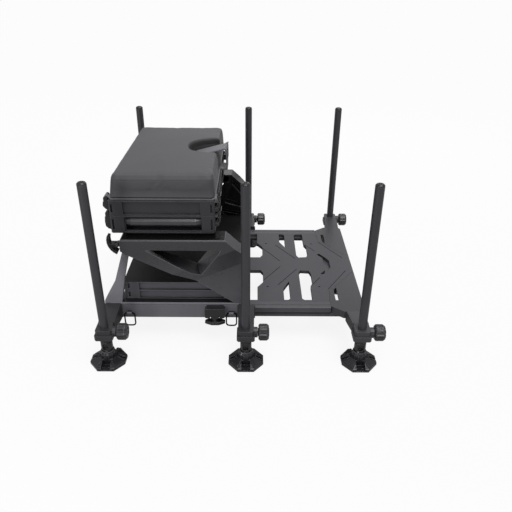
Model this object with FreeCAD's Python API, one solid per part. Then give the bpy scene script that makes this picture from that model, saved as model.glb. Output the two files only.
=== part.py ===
import FreeCAD, Part
import os
from math import atan2, cos, degrees, hypot, pi, radians, sin

# Fishing seat box on six adjustable legs. A cushioned seat on two lift-up trays stands on a pair of
# side brackets over a low base frame with two drawers, and a slotted footplate slides out of the base.
# Millimetres, +Z up, floor at Z 0, the angler faces +X, "right" is the angler's right hand (-Y).
# The origin is the middle of the bounding box, on the floor. Lengthwise places are stations,
# measured forward from the rear leg row.

V = FreeCAD.Vector

# Clearances
run_fit = 0.06          # radial gap of a shaft or leg in its bore
gap = 0.4               # gap between pieces that move past each other
seam = 0.5              # open joint line between fixed covers

# Legs and their rows
leg_dia = 25.0
leg_wall = 2.0
leg_bottom = 74.0
leg_top = 562.0
cap_height = 6.5
cap_plug = 14.0
turned_sides = 12       # facets round a cap, an ankle or a foot's cup
row_gap_rear = 407.5    # rear row to middle row
row_gap_front = 335.5   # middle row to front row
track = 769.0           # right legs to left legs

# Leg clamps
clamp_width = 52.0
clamp_bottom = 93.0
clamp_top = 125.0
clamp_step = 3.5        # upper half of the block is set in by this much
boss_dia = 31.0
boss_reach = 34.0       # from the leg's axis to the boss's end face
arm_width = 46.0
arm_wall = 5.0
flange_thick = 8.0
flange_width = 54.0

# Clamp knobs
knob_dia = 49.0
knob_length = 30.0
knob_neck = 2.0
knob_stem_dia = 8.0
knob_lobes = 8

# Ankle sockets and mud feet
sleeve_dia = 34.0
sleeve_bottom = 51.0
sleeve_collar = 15.6
ankle_window = 16.0     # width of the recess fore and aft in the sleeve
ball_dia = 32.0
ball_height = 36.0
neck_dia = 22.0
cup_dia = 43.0
cup_height = 44.0
cup_mouth_dia = 30.4
foot_length = 98.0      # across the feet's ends, which face the box's two sides
foot_width = 103.0
foot_end = 24.0         # half length of the flat at each end
foot_flank = 16.0       # half length of the flat at each flank
foot_rim = 12.0
foot_shoulder = 22.0
foot_floor = 5.0        # top of the floor in the foot's channels
foot_channel = 26.0
foot_window = 38.0      # foot's middle to its drain windows
foot_ribs = 12
cup_rib = 1.8

# Base frame
rail_outer = 270.0      # middle plane to a side rail's outer face
rail_width = 28.0
rail_height = 55.0
rail_bottom = 77.0
rail_wall = 3.0
rail_rear = -8.0
rail_front = 408.0
cross_width = 28.0
cross_rear = 22.0
cross_front = 380.0

# Footplate
deck_top = 117.0
deck_thick = 12.0
deck_rear = 412.0
deck_front = 771.0
deck_half = 236.5
edge_height = 25.0
edge_front = 668.0
edge_lip = 12.0
corner_outer = 290.0
corner_thick = 25.0
groove_width = 2.0
groove_depth = 1.5
runner_height = 10.5
runner_front = 700.0
footplate_travel = 120.0
runner_hold = 80.0      # length of a runner that stays in its side rail when the footplate is out

# Runner locks
lock_station = 311.0
lock_block_length = 60.0
lock_block_depth = 22.0
lock_block_bottom = 88.0
lock_block_top = 124.0
lock_wing = 31.0        # middle to tip of the lock knob's wings
lock_knob_height = 11.0
lock_hub_height = 9.6
lock_stem_dia = 10.0

# Seat brackets
bracket_outer = 292.5   # middle plane to the outer face of the top rail
bracket_inner = 230.5
bracket_top = 358.0
bracket_rail_height = 32.0
bracket_rear = 48.0
bracket_front = 404.0
bracket_knee = 347.0    # station where the top rail turns down
bracket_knee_drop = 54.0
bracket_web_inner = 246.6
bracket_foot_station = 372.0
bracket_wall = 5.0
bracket_rib = 3.0

# Latches at the brackets' rear ends
latch_station = 41.0
latch_height = 340.0
latch_pin_dia = 6.0
latch_barrel_dia = 11.0
latch_inner = 268.5     # middle plane to a latch's inner side

# Seat units
unit_rear = 22.0
unit_front = 319.0
unit_half = 262.5
unit_wall = 14.0
unit_floor = 4.0
deep_bottom = 366.0
deep_top = 419.0
shallow_height = 45.2
handle_pocket_depth = 34.0
handle_length = 202.0
handle_proud = 2.5
handle_depth = 14.0
lid_thick = 5.0
cushion_thick = 60.0
cushion_half = 256.5
cushion_over = 4.0      # how far the cushion reaches past the units' front
cushion_crown = 3.0

# Lifting tongue of the lid and the scoop it lies in
tongue_rear = 243.0
tongue_front = 345.0
tongue_right = -8.0
tongue_left = 46.0
tongue_low = 511.0
tongue_top = 536.0
tongue_thick = 5.0
scoop_rear = 219.0
scoop_right = -49.0
scoop_left = 100.0
scoop_floor = 502.0

# Hinges and catches of the seat units
hinge_span = 235.0      # middle plane to the middle of a hinge or catch
hinge_width = 34.0
hinge_pin_dia = 5.0
hinge_barrel_dia = 11.0
hinge_set_out = 8.0
catch_arm = 34.0        # pin to the top of the ledge that the catch holds
catch_set_out = 6.0
catch_ear = 4.0
catch_plate_out = 4.5
catch_gap = 0.5
ledge_reach = 9.0
ledge_chamfer = 2.2
ledge_drop = 4.7

# Lower drawers
case_rear = 33.0
case_front = 384.0
case_half = 246.0
case_height = 59.0
case_wall = 4.0
case_side = 11.0
drawer_wall = 2.5
drawer_face = 8.0

# Strap rings
ring_width = 36.0
ring_height = 50.0
ring_wire = 4.6
ring_rear_station = 48.0
ring_mid_station = 361.3
ring_axis_height = 98.0
ring_set_out = 6.0

# Worked-out places
row_station = {"rear": 0.0, "mid": row_gap_rear, "front": row_gap_rear + row_gap_front}
leg_side = track / 2.0
rail_top = rail_bottom + rail_height
cushion_rear = unit_rear
cushion_front = unit_front + cushion_over
handle_station = (unit_rear + unit_front) / 2.0 + 2.5
shallow_bottom = deep_top + gap
shallow_top = shallow_bottom + shallow_height
lid_bottom = shallow_top + gap
lid_top = lid_bottom + lid_thick
cushion_bottom = lid_top + 0.3
cushion_top = cushion_bottom + cushion_thick
knob_reach = boss_reach + gap + knob_neck + knob_length


def ring_points(count, radius, start=0.0):
    """Corners of a regular polygon about the origin."""
    step = 2.0 * pi / count
    return [(radius * cos(start + step * i), radius * sin(start + step * i)) for i in range(count)]


def foot_outline():
    """Plan of a mud foot: an octagon with long slanting sides."""
    side = foot_width / 2.0
    end = foot_length / 2.0
    return [
        (side, -foot_flank), (side, foot_flank), (foot_end, end), (-foot_end, end), (-side, foot_flank),
        (-side, -foot_flank), (-foot_end, -end), (foot_end, -end)]


origin_station = (row_station["front"] + knob_reach - foot_width / 2.0) / 2.0


def at(station):
    """X of a station."""
    return station - origin_station


def box(x0, x1, y0, y1, z0, z1):
    """Block between two corners."""
    return Part.makeBox(x1 - x0, y1 - y0, z1 - z0, V(x0, y0, z0))


def face_of(points):
    """Flat face through corner points."""
    return Part.Face(Part.makePolygon(points + [points[0]]))


def prism_z(plan, z0, z1):
    """Block with an XY outline."""
    return face_of([V(x, y, z0) for x, y in plan]).extrude(V(0, 0, z1 - z0))


def prism_y(side, y0, y1):
    """Block with an XZ outline."""
    return face_of([V(x, y0, z) for x, z in side]).extrude(V(0, y1 - y0, 0))


def prism_x(end, x0, x1):
    """Block with a YZ outline."""
    return face_of([V(x0, y, z) for y, z in end]).extrude(V(x1 - x0, 0, 0))


def rod(start, direction, radius, length):
    """Round bar."""
    return Part.makeCylinder(radius, length, start, direction)


def loft(wires):
    """Ruled solid through closed wires."""
    return Part.makeLoft(wires, True, True)


def patch(a, b, c, d):
    """One flat face between four corners, or two where the corners don't lie in a plane."""
    normal = (b - a).cross(c - a)
    if abs((d - a).dot(normal)) < 1e-6 * normal.Length:
        return [face_of([a, b, c, d])]
    return [face_of([a, b, c]), face_of([a, c, d])]


def skin(rings, closed=False):
    """Flat-faced solid through rings of corners; a closed one runs round to its first ring again."""
    faces = []
    pairs = list(zip(rings, rings[1:]))
    if closed:
        pairs.append((rings[-1], rings[0]))
    else:
        faces = [face_of(rings[0]), face_of(rings[-1])]
    count = len(rings[0])
    for low, high in pairs:
        for i in range(count):
            j = (i + 1) % count
            faces += patch(low[i], low[j], high[j], high[i])
    shell = Part.makeShell(faces)
    shell.sewShape()
    solid = Part.makeSolid(shell)
    if solid.Volume < 0:
        solid.reverse()
    return solid


def turned(profile, sides):
    """Faceted turning about the Z axis through (radius, height) pairs."""
    rings = []
    for radius, height in profile:
        rings.append([V(x, y, height) for x, y in ring_points(sides, radius, pi / sides)])
    return skin(rings)


def drum(x, z, radius, y0, y1):
    """Ten-sided barrel along Y."""
    return prism_y([(x + px, z + pz) for px, pz in ring_points(10, radius)], y0, y1)


def section_y(x0, x1, z0, z1, y):
    """Corners of an upright rectangle facing along Y."""
    return [V(x0, y, z0), V(x1, y, z0), V(x1, y, z1), V(x0, y, z1)]


def mirrored(shape):
    """The same piece on the other side of the middle plane."""
    return shape.mirror(V(0, 0, 0), V(0, 1, 0))


def both_sides(shape):
    """A piece and its mirror image, as two solids of one group."""
    return Part.makeCompound([shape, mirrored(shape)])


def fused(shapes):
    """One solid from touching shapes."""
    result = shapes[0]
    for shape in shapes[1:]:
        result = result.fuse(shape)
    return result.removeSplitter()


def chamfered(shape, size, pick):
    """Chamfer the edges that pick accepts."""
    edges = [edge for edge in shape.Edges if pick(edge)]
    return shape.makeChamfer(size, edges)


def along(edge, axis):
    """True where a straight edge runs along an axis."""
    if not isinstance(edge.Curve, Part.Line):
        return False
    direction = edge.tangentAt(edge.FirstParameter)
    return abs(direction.dot(axis)) > 0.999


def save(shape, node):
    """Write one node."""
    shape.exportStep("parts/%s.step" % node)


def on_side(shape, side):
    """Pieces are drawn on the right, at negative Y; the left ones are mirrored."""
    return shape if side == "right" else mirrored(shape)


# Legs

def leg_tube(row):
    """Plain round tube."""
    x = at(row_station[row])
    length = leg_top - leg_bottom
    outer = rod(V(x, -leg_side, leg_bottom), V(0, 0, 1), leg_dia / 2.0, length)
    bore = rod(V(x, -leg_side, leg_bottom - 1.0), V(0, 0, 1), leg_dia / 2.0 - leg_wall, length + 2.0)
    return outer.cut(bore)


def leg_cap(row):
    """Domed plug in the tube's top, with a small dimple."""
    radius = leg_dia / 2.0 - 0.2
    plug_radius = leg_dia / 2.0 - leg_wall - run_fit
    dimple_radius = 4.0
    dimple_depth = 2.0
    top = leg_top + cap_height
    cap = turned([
        (plug_radius, leg_top - cap_plug),
        (plug_radius, leg_top),
        (radius, leg_top),
        (radius, leg_top + cap_height * 0.4),
        (radius * 0.78, leg_top + cap_height * 0.85),
        (dimple_radius + 1.0, top),
        (dimple_radius, top - dimple_depth)], turned_sides)
    cap.translate(V(at(row_station[row]), -leg_side, 0))
    return cap


def ankle(row):
    """Sleeve round the tube's foot, with the neck and ball of the swivel below it."""
    radius = sleeve_dia / 2.0
    top = clamp_bottom - gap
    ball = ball_dia / 2.0
    profile = []
    for turn in (-60.0, -30.0, 0.0, 28.0):
        profile.append((ball * cos(radians(turn)), ball_height + ball * sin(radians(turn))))
    profile += [
        (neck_dia / 2.0, ball_height + hypot(ball, neck_dia / 2.0) * 0.6),
        (neck_dia / 2.0, sleeve_bottom),
        (radius, sleeve_bottom),
        (radius, top - sleeve_collar - 2.0),
        (radius - 2.0, top - sleeve_collar),
        (radius - 2.0, top)]
    corner = (leg_dia / 2.0 + run_fit) / cos(pi / turned_sides)
    socket = turned([(corner, leg_bottom), (corner, top + 1.0)], turned_sides)
    piece = turned(profile, turned_sides).cut(socket)
    for sign in (-1.0, 1.0):
        y_deep = sign * (radius - 7.5)
        y_out = sign * (radius + 1.0)
        window = box(-ankle_window / 2.0, ankle_window / 2.0, min(y_deep, y_out), max(y_deep, y_out),
                     sleeve_bottom + 3.0, leg_bottom - 2.0)
        piece = piece.cut(window)
    piece.translate(V(at(row_station[row]), -leg_side, 0))
    return piece


def mud_foot(row):
    """Octagonal plate with a wide channel fore and aft of the ribbed cup that holds the swivel's ball."""
    outline = foot_outline()
    cup = cup_dia / 2.0
    crown = cup + 3.0
    rings = []
    for share, height in ((0.97, 0.0), (1.0, 3.0), (1.0, foot_rim - 1.5), (0.96, foot_rim)):
        rings.append([V(px * share, py * share, height) for px, py in outline])
    rings.append([V(px * crown / hypot(px, py), py * crown / hypot(px, py), foot_shoulder) for px, py in outline])
    foot = skin(rings)
    reach = foot_width / 2.0 + 1.0
    flank_groove = 3.0
    for turn in (0.0, 180.0):
        channel = box(-foot_channel / 2.0, foot_channel / 2.0, cup, reach, foot_floor, foot_shoulder + 1.0)
        channel.rotate(V(0, 0, 0), V(0, 0, 1), turn)
        groove_room = box(crown + 6.0, reach, -flank_groove, flank_groove, foot_floor + 1.0, foot_shoulder + 1.0)
        groove_room.rotate(V(0, 0, 0), V(0, 0, 1), turn)
        foot = foot.cut(channel).cut(groove_room)
        for place in (-1.0, 1.0):
            middle = place * (foot_channel / 2.0 - 4.5)
            window = box(middle - 3.5, middle + 3.5, foot_window - 2.5, foot_window + 2.5, -1.0, foot_floor + 1.0)
            window.rotate(V(0, 0, 0), V(0, 0, 1), turn)
            foot = foot.cut(window)
    wall = []
    for radius, height in ((cup, foot_floor), (cup, cup_height - 8.0), (cup - 4.0, cup_height)):
        ring = []
        for i, (px, py) in enumerate(ring_points(2 * foot_ribs, 1.0)):
            reach_here = radius + (cup_rib if i % 2 else 0.0)
            ring.append(V(px * reach_here, py * reach_here, height))
        wall.append(ring)
    foot = foot.fuse(skin(wall))
    room = (ball_dia / 2.0 + gap) * 1.06
    mouth = cup_mouth_dia / 2.0
    hollow = [(room * cos(radians(60.0)), ball_height - room)]
    for turn in (-30.0, 0.0, 20.0):
        hollow.append((room * cos(radians(turn)), ball_height + room * sin(radians(turn))))
    hollow += [(mouth, cup_height - 1.2), (mouth + 0.6, cup_height + 1.0)]
    foot = foot.cut(turned(hollow, turned_sides)).removeSplitter()
    foot.translate(V(at(row_station[row]), -leg_side, 0))
    return foot


# Leg clamps

def clamp_block(row):
    """Stepped block round the leg with the knob's boss on its forward side."""
    x = at(row_station[row])
    half = clamp_width / 2.0
    waist = (clamp_bottom + clamp_top) / 2.0
    lower = box(x - half, x + half, -leg_side - half, -leg_side + half, clamp_bottom, waist)
    lower = chamfered(lower, 5.0, lambda e: along(e, V(0, 0, 1)))
    inner = half - clamp_step
    upper = box(x - inner, x + inner, -leg_side - inner, -leg_side + inner, waist, clamp_top)
    upper = chamfered(upper, 5.0, lambda e: along(e, V(0, 0, 1)))
    boss_plan = [(-leg_side + py, waist + pz) for py, pz in ring_points(12, boss_dia / 2.0, pi / 12.0)]
    boss = prism_x(boss_plan, x + leg_dia / 2.0 + 4.0, x + boss_reach)
    return fused([lower, upper, boss])


def clamp_holes(row):
    """Bore for the leg and hole for the knob's stem."""
    x = at(row_station[row])
    waist = (clamp_bottom + clamp_top) / 2.0
    bore = rod(V(x, -leg_side, clamp_bottom - 1.0), V(0, 0, 1), leg_dia / 2.0 + run_fit, clamp_top - clamp_bottom + 40.0)
    corner = (knob_stem_dia / 2.0 + run_fit) / cos(pi / 12.0)
    hole_plan = [(-leg_side + py, waist + pz) for py, pz in ring_points(12, corner)]
    return bore.fuse(prism_x(hole_plan, x, x + boss_reach + 1.0))


def clamp_arm(row, root_side, root_top, root_bottom, root_station, root_width):
    """Hollow tapered arm from the clamp block to its root."""
    x = at(row_station[row])
    tip_y = -leg_side + clamp_width / 2.0 - 4.0
    root_x = at(root_station)
    half_tip = arm_width / 2.0
    half_root = root_width / 2.0
    shell = skin([
        section_y(x - half_tip, x + half_tip, clamp_bottom, clamp_top, tip_y),
        section_y(root_x - half_root, root_x + half_root, root_bottom, root_top, -root_side)])
    pocket_tip_y = tip_y + 10.0
    pocket_root_y = -root_side - arm_wall
    share = (pocket_root_y - tip_y) / (-root_side - tip_y)
    pocket_half = half_tip + (half_root - half_tip) * share - arm_wall
    pocket_x = x + (root_x - x) * share
    pocket_top = clamp_top + (root_top - clamp_top) * share - arm_wall
    low = min(clamp_bottom, root_bottom) - 1.0
    pocket = skin([
        section_y(x - half_tip + arm_wall, x + half_tip - arm_wall, low, clamp_top - arm_wall, pocket_tip_y),
        section_y(pocket_x - pocket_half, pocket_x + pocket_half, low, pocket_top, pocket_root_y)])
    return shell.cut(pocket)


def base_clamp(row):
    """Casting bolted to a side rail's outer face, for the rear or middle leg."""
    station = row_station[row]
    top = rail_top - 2.0
    bottom = rail_bottom + 2.0
    arm = clamp_arm(row, rail_outer + flange_thick, top, bottom, station, flange_width - 6.0)
    half = flange_width / 2.0
    flange = box(at(station - half), at(station + half), -rail_outer - flange_thick, -rail_outer, bottom, top)
    flange = chamfered(flange, 5.0, lambda e: along(e, V(0, 1, 0)))
    return fused([clamp_block(row), arm, flange]).cut(clamp_holes(row))


def corner_plan(offset):
    """Outline of the footplate's corner casting, set out from its joint line with the deck."""
    return [
        (at(deck_front), -(57.0 + offset)),
        (at(762.0 + offset * 0.5), -(57.0 + offset)),
        (at(691.0 + offset), -(152.0 + offset * 0.5)),
        (at(674.0 + offset), -(166.0 + offset * 0.5)),
        (at(edge_front + offset), -deck_half),
        (at(edge_front + offset), -(rail_outer - 8.0)),
        (at(706.0), -corner_outer),
        (at(deck_front - 10.0), -corner_outer),
        (at(deck_front), -(corner_outer - 10.0)),
    ]


def footplate_clamp():
    """Corner casting of the footplate with its arm and clamp, for the front leg."""
    plate = prism_z(corner_plan(seam), deck_top - corner_thick, deck_top)
    rib = 6.0
    pocket_plan = [
        (at(760.0), -(80.0)), (at(700.0), -(160.0)), (at(684.0), -(176.0)), (at(684.0), -(240.0)),
        (at(712.0), -(corner_outer - rib - 8.0)), (at(deck_front - 16.0), -(corner_outer - rib - 8.0)),
        (at(deck_front - rib - 4.0), -(corner_outer - 24.0)), (at(deck_front - rib - 4.0), -(90.0))]
    pocket = prism_z(pocket_plan, deck_top - corner_thick - 1.0, deck_top - rib)
    slit = prism_z([
        (at(688.0), -168.0), (at(698.0), -154.0), (at(698.0), -228.0), (at(688.0), -228.0)],
        deck_top - corner_thick - 1.0, deck_top + 1.0)
    root_station = 739.0
    arm = clamp_arm("front", corner_outer, deck_top, deck_top - corner_thick - 12.0, root_station, 52.0)
    keel = box(at(root_station - 26.0), at(root_station + 26.0), -corner_outer, -corner_outer + 8.0,
               deck_top - corner_thick - 12.0, deck_top - corner_thick)
    plate = plate.cut(pocket).cut(slit)
    return fused([clamp_block("front"), arm, plate, keel]).cut(clamp_holes("front"))


# Knobs

def lobed_rings(profile, diameter, lobes):
    """Rings of a lobed hand knob: a list of corner lists, one for each (share of size, height)."""
    valley = 0.87
    rings = []
    step = 2.0 * pi / lobes
    for share, height in profile:
        ring = []
        for i in range(lobes):
            for turn, reach in ((-0.27, 1.0), (0.27, 1.0), (0.5, valley)):
                angle = step * (i + turn)
                radius = diameter / 2.0 * share * reach
                ring.append((radius * cos(angle), radius * sin(angle), height))
        rings.append(ring)
    return rings


def clamp_knob(row):
    """Lobed thumb knob whose stem presses on the leg."""
    height = (clamp_bottom + clamp_top) / 2.0
    start = boss_reach + gap
    head = start + knob_neck
    profile = ((0.84, head), (1.0, head + 4.0), (1.0, head + knob_length - 6.0), (0.8, head + knob_length))
    rings = lobed_rings(profile, knob_dia, knob_lobes)
    grip = skin([[V(h, px, py) for px, py, h in ring] for ring in rings])
    neck = prism_x(ring_points(12, 12.0), start, head + 1.0)
    stem_start = leg_dia / 2.0 + 0.3
    stem = rod(V(stem_start, 0, 0), V(1, 0, 0), knob_stem_dia / 2.0, head - stem_start + 1.0)
    knob = fused([grip, neck, stem])
    knob.translate(V(at(row_station[row]), -leg_side, height))
    return knob


def lock_block():
    """Block on a side rail's face that carries the runner lock."""
    half = lock_block_length / 2.0
    x = at(lock_station)
    side = [
        (x - half, lock_block_top - 6.0), (x - half + 6.0, lock_block_top), (x + half - 4.0, lock_block_top),
        (x + half, lock_block_top - 4.0), (x + half, lock_block_bottom + 4.0), (x + 16.0, lock_block_bottom),
        (x + 12.0, lock_block_bottom + 12.0), (x - 12.0, lock_block_bottom + 12.0),
        (x - 16.0, lock_block_bottom), (x - half, lock_block_bottom + 4.0)]
    block = prism_y(side, -rail_outer - lock_block_depth, -rail_outer)
    ledge = box(x - 11.9, x + 11.9, -rail_outer - lock_block_depth + 2.0, -rail_outer, lock_block_bottom - 2.0,
                lock_block_bottom + 12.5)
    block = fused([block, ledge])
    hole = rod(V(x, -rail_outer - lock_block_depth / 2.0, lock_block_bottom - 3.0), V(0, 0, 1),
               lock_stem_dia / 2.0 + run_fit, 24.0)
    return block.cut(hole)


def lock_knob():
    """Two-winged hand knob under the lock block, and its threaded stem with a collar, as two solids."""
    top = lock_block_bottom - 2.0 - gap - lock_hub_height
    low = top - lock_knob_height
    plan = [(1.0, -0.17), (1.0, 0.17), (0.4, 0.46), (-0.4, 0.46), (-1.0, 0.17), (-1.0, -0.17), (-0.4, -0.46), (0.4, -0.46)]
    rings = []
    for share, height in ((0.86, low), (1.0, low + 3.0), (1.0, top - 3.0), (0.88, top)):
        rings.append([V(px * share * lock_wing, py * share * lock_wing, height) for px, py in plan])
    collar = turned([(9.5, top), (9.5, top + lock_hub_height)], 12)
    stem = rod(V(0, 0, top + 1.0), V(0, 0, 1), lock_stem_dia / 2.0, lock_hub_height + 17.0)
    knob = Part.makeCompound([skin(rings), fused([collar, stem])])
    knob.translate(V(at(lock_station), -rail_outer - lock_block_depth / 2.0, 0))
    return knob


# Base frame

def side_rail():
    """Hollow beam with softened corners and a line along its outer face."""
    outer = box(at(rail_rear), at(rail_front), -rail_outer, -rail_outer + rail_width, rail_bottom, rail_top)
    outer = chamfered(outer, 2.5, lambda e: along(e, V(1, 0, 0)))
    inner = box(at(rail_rear) - 1.0, at(rail_front) + 1.0, -rail_outer + rail_wall,
                -rail_outer + rail_width - rail_wall, rail_bottom + rail_wall, rail_top - rail_wall)
    line = box(at(rail_rear) - 1.0, at(rail_front) + 1.0, -rail_outer - 1.0, -rail_outer + 0.8,
               rail_top - 9.0, rail_top - 7.5)
    return outer.cut(inner).cut(line)


def cross_rail(station):
    """Square tube between the side rails."""
    half = rail_outer - rail_width
    outer = box(at(station), at(station + cross_width), -half, half, rail_top - 40.0, rail_top)
    inner = box(at(station) + rail_wall, at(station + cross_width) - rail_wall, -half - 1.0, half + 1.0,
                rail_top - 40.0 + rail_wall, rail_top - rail_wall)
    return outer.cut(inner)


# Seat brackets

def seat_bracket():
    """Deep moulded side: a top rail, a knee down to the base and a flared web with a triangular opening."""
    rail_low = bracket_top - bracket_rail_height
    side = [
        (at(bracket_rear + 4.0), bracket_top), (at(bracket_knee), bracket_top),
        (at(bracket_front), bracket_top - bracket_knee_drop), (at(bracket_front), rail_top),
        (at(bracket_foot_station), rail_top), (at(254.0), 215.0), (at(61.0), rail_low - 14.0),
        (at(bracket_rear), rail_low - 4.0), (at(bracket_rear), bracket_top - 5.0)]
    body = prism_y(side, -bracket_outer, -bracket_inner)
    body = chamfered(body, 3.0, lambda e: e.BoundBox.YMax < -bracket_outer + 0.1 and e.BoundBox.ZMin > bracket_top - 0.1)
    # The web leans in from the top rail to the base rail's outer face, along a slanting fold.
    fold_station = 312.0
    fold_height = 236.0
    fold_slope = 24.0
    flare_height = 60.0
    far = 400.0
    wedge = prism_x([
        (-rail_outer, fold_height), (-bracket_outer - 0.5, fold_height + flare_height),
        (-bracket_outer - 40.0, fold_height + flare_height), (-bracket_outer - 40.0, -far), (-rail_outer, -far)],
        at(fold_station) - far, at(fold_station) + far)
    wedge.rotate(V(at(fold_station), 0, fold_height), V(0, 1, 0), -fold_slope)
    body = body.cut(wedge)
    inner_cut = box(at(bracket_rear) - 1.0, at(bracket_front) + 1.0, -bracket_web_inner, -bracket_inner + 1.0,
                    rail_top - 1.0, 222.0)
    body = body.cut(inner_cut)
    outer_tri = [(at(118.0), rail_low), (at(335.0), rail_low), (at(280.0), 229.0)]
    inner_tri = [(at(78.0), rail_low), (at(318.0), rail_low), (at(259.0), 250.0)]
    reach = bracket_outer - bracket_inner
    extend = 2.0
    outer_ring = []
    inner_ring = []
    for (ox, oz), (ix, iz) in zip(outer_tri, inner_tri):
        dx = (ix - ox) / reach
        dz = (iz - oz) / reach
        outer_ring.append(V(ox - dx * extend, -bracket_outer - extend, oz - dz * extend))
        inner_ring.append(V(ix + dx * extend, -bracket_inner + extend, iz + dz * extend))
    body = body.cut(skin([outer_ring, inner_ring]))
    for pocket in bracket_pockets(rail_low):
        body = body.cut(pocket)
    # The latch turns on a pin in an ear at the rear end.
    ear_half = 3.0
    ear_middle = (bracket_outer + latch_inner) / 2.0
    ear = prism_y([
        (at(bracket_rear) + 1.0, latch_height + 9.0), (at(latch_station), latch_height + latch_barrel_dia / 2.0),
        (at(latch_station) - 3.0, latch_height), (at(latch_station), latch_height - latch_barrel_dia / 2.0),
        (at(bracket_rear) + 1.0, latch_height - 9.0)], -ear_middle - ear_half, -ear_middle + ear_half)
    pin = rod(V(at(latch_station), -bracket_outer, latch_height), V(0, 1, 0), latch_pin_dia / 2.0,
              bracket_outer - latch_inner)
    return fused([body, ear, pin])


def bracket_pockets(rail_low):
    """Ribbed pockets that open on the moulding's inner side: a row in the top rail and four in the knee."""
    open_side = -bracket_inner + 1.0
    pockets = []
    count = 6
    start = bracket_rear + 14.0
    pitch = (bracket_knee - 8.0 - start) / count
    for i in range(count):
        x0 = at(start + pitch * i)
        pockets.append(box(x0, x0 + pitch - bracket_rib, -bracket_outer + 6.0, open_side,
                           rail_low + bracket_wall, bracket_top - bracket_wall))
    deep = -rail_outer + bracket_wall
    knee = [
        [(349.0, 322.0), (352.0, 338.0), (bracket_front - bracket_wall, 299.0), (bracket_front - bracket_wall, 262.0)],
        [(345.0, 318.0), (bracket_front - bracket_wall - 1.0, 256.0), (bracket_front - bracket_wall - 1.0, 226.0), (319.0, 250.0)],
        [(316.0, 245.0), (bracket_front - bracket_wall, 219.0), (bracket_front - bracket_wall, 190.0), (301.0, 208.0)],
        [(306.0, 202.0), (bracket_front - bracket_wall, 184.0), (bracket_front - bracket_wall, rail_top + bracket_wall),
         (378.0, rail_top + bracket_wall)]]
    for corners in knee:
        pockets.append(prism_y([(at(x), z) for x, z in corners], deep, open_side))
    return pockets


def seat_latch():
    """Curved lever that swings on the bracket's rear pin and holds the seat down."""
    x = at(latch_station)
    ear_middle = (bracket_outer + latch_inner) / 2.0
    centre_x = x + 19.0
    centre_z = latch_height + 14.0
    outer_points = []
    inner_points = []
    for i in range(7):
        angle = radians(162.0 + 13.5 * i)
        outer_points.append((centre_x + 47.0 * cos(angle), centre_z + 47.0 * sin(angle)))
        inner_points.append((centre_x + 40.0 * cos(angle), centre_z + 40.0 * sin(angle)))
    band = prism_y(outer_points + inner_points[::-1], -bracket_outer, -latch_inner)
    spoke = box(x - 22.5, x, -bracket_outer, -latch_inner, latch_height - 4.0, latch_height + 4.0)
    barrel = drum(x, latch_height, latch_barrel_dia / 2.0, -bracket_outer, -latch_inner)
    lever = fused([band, spoke, barrel])
    ear_room = 3.0 + gap
    room = box(x - 9.0, x + 12.0, -ear_middle - ear_room, -ear_middle + ear_room, latch_height - 12.0, latch_height + 12.0)
    bore = rod(V(x, -bracket_outer - 1.0, latch_height), V(0, 1, 0), latch_pin_dia / 2.0 + run_fit,
               bracket_outer - latch_inner + 2.0)
    return lever.cut(room).cut(bore)


def rear_strut():
    """Leaning folded strut from the bracket's rear end down to the base rail, with a pierced lug at its foot."""
    low = rail_top
    side = [
        (at(50.0), 319.8), (at(61.0), 312.0), (at(66.0), 309.5), (at(44.0), 220.0), (at(28.0), low), (at(rail_rear) - 0.5, low),
        (at(rail_rear) - 0.5, low - 28.0), (at(-26.0), low - 22.0), (at(-24.0), low + 6.0), (at(14.0), 205.0)]
    inner = bracket_web_inner
    strut = prism_y(side, -rail_outer + 2.0, -inner)
    lean = prism_x([(-rail_outer + 2.0, low + 30.0), (-rail_outer + 12.0, 320.0), (-rail_outer - 5.0, 320.0),
                    (-rail_outer - 5.0, low + 30.0)], at(-60.0), at(120.0))
    hole = prism_y([(at(rail_rear) - 5.0 + px, low - 12.0 + pz) for px, pz in ((-8.0, -5.0), (0.0, -5.0), (0.0, 6.0), (-8.0, 6.0))],
                   -rail_outer, -inner + 1.0)
    return strut.cut(lean).cut(hole)


# Seat units

def hinge_block(seat_height, face_height):
    """Bulging hinge on a unit's rear face; its ears and pin carry the unit above."""
    x = at(unit_rear) - hinge_set_out
    face = at(unit_rear)
    barrel = hinge_barrel_dia / 2.0
    half = hinge_width / 2.0
    top = seat_height - barrel - gap
    low = face_height
    bulge = prism_y([
        (face, low), (face - 9.0, low + 3.0), (face - 15.5, low + 10.0), (face - 17.0, (low + top) / 2.0),
        (face - 15.5, top - 5.0), (face - 11.0, top), (face, top)], -hinge_span - half, -hinge_span + half)
    lug_half = half / 2.0
    ears = []
    for y0, y1 in ((-hinge_span - half, -hinge_span - lug_half - gap), (-hinge_span + lug_half + gap, -hinge_span + half)):
        ears.append(drum(x, seat_height, barrel, y0, y1))
        ears.append(box(x - barrel, x + barrel, y0, y1, top - 4.0, seat_height))
    pin = rod(V(x, -hinge_span - half, seat_height), V(0, 1, 0), hinge_pin_dia / 2.0, hinge_width)
    return fused([bulge, pin] + ears)


def hinge_lug(bottom, thick):
    """Lug of the upper unit, round the hinge pin."""
    x = at(unit_rear) - hinge_set_out
    height = bottom + thick / 2.0
    lug_half = hinge_width / 4.0
    barrel = drum(x, height, hinge_barrel_dia / 2.0, -hinge_span - lug_half, -hinge_span + lug_half)
    tongue = box(x, at(unit_rear) + 3.0, -hinge_span - lug_half, -hinge_span + lug_half, bottom, bottom + thick)
    bore = rod(V(x, -hinge_span - hinge_width, height), V(0, 1, 0), hinge_pin_dia / 2.0 + run_fit, 2.0 * hinge_width)
    return tongue.fuse(barrel).cut(bore), bore


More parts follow.
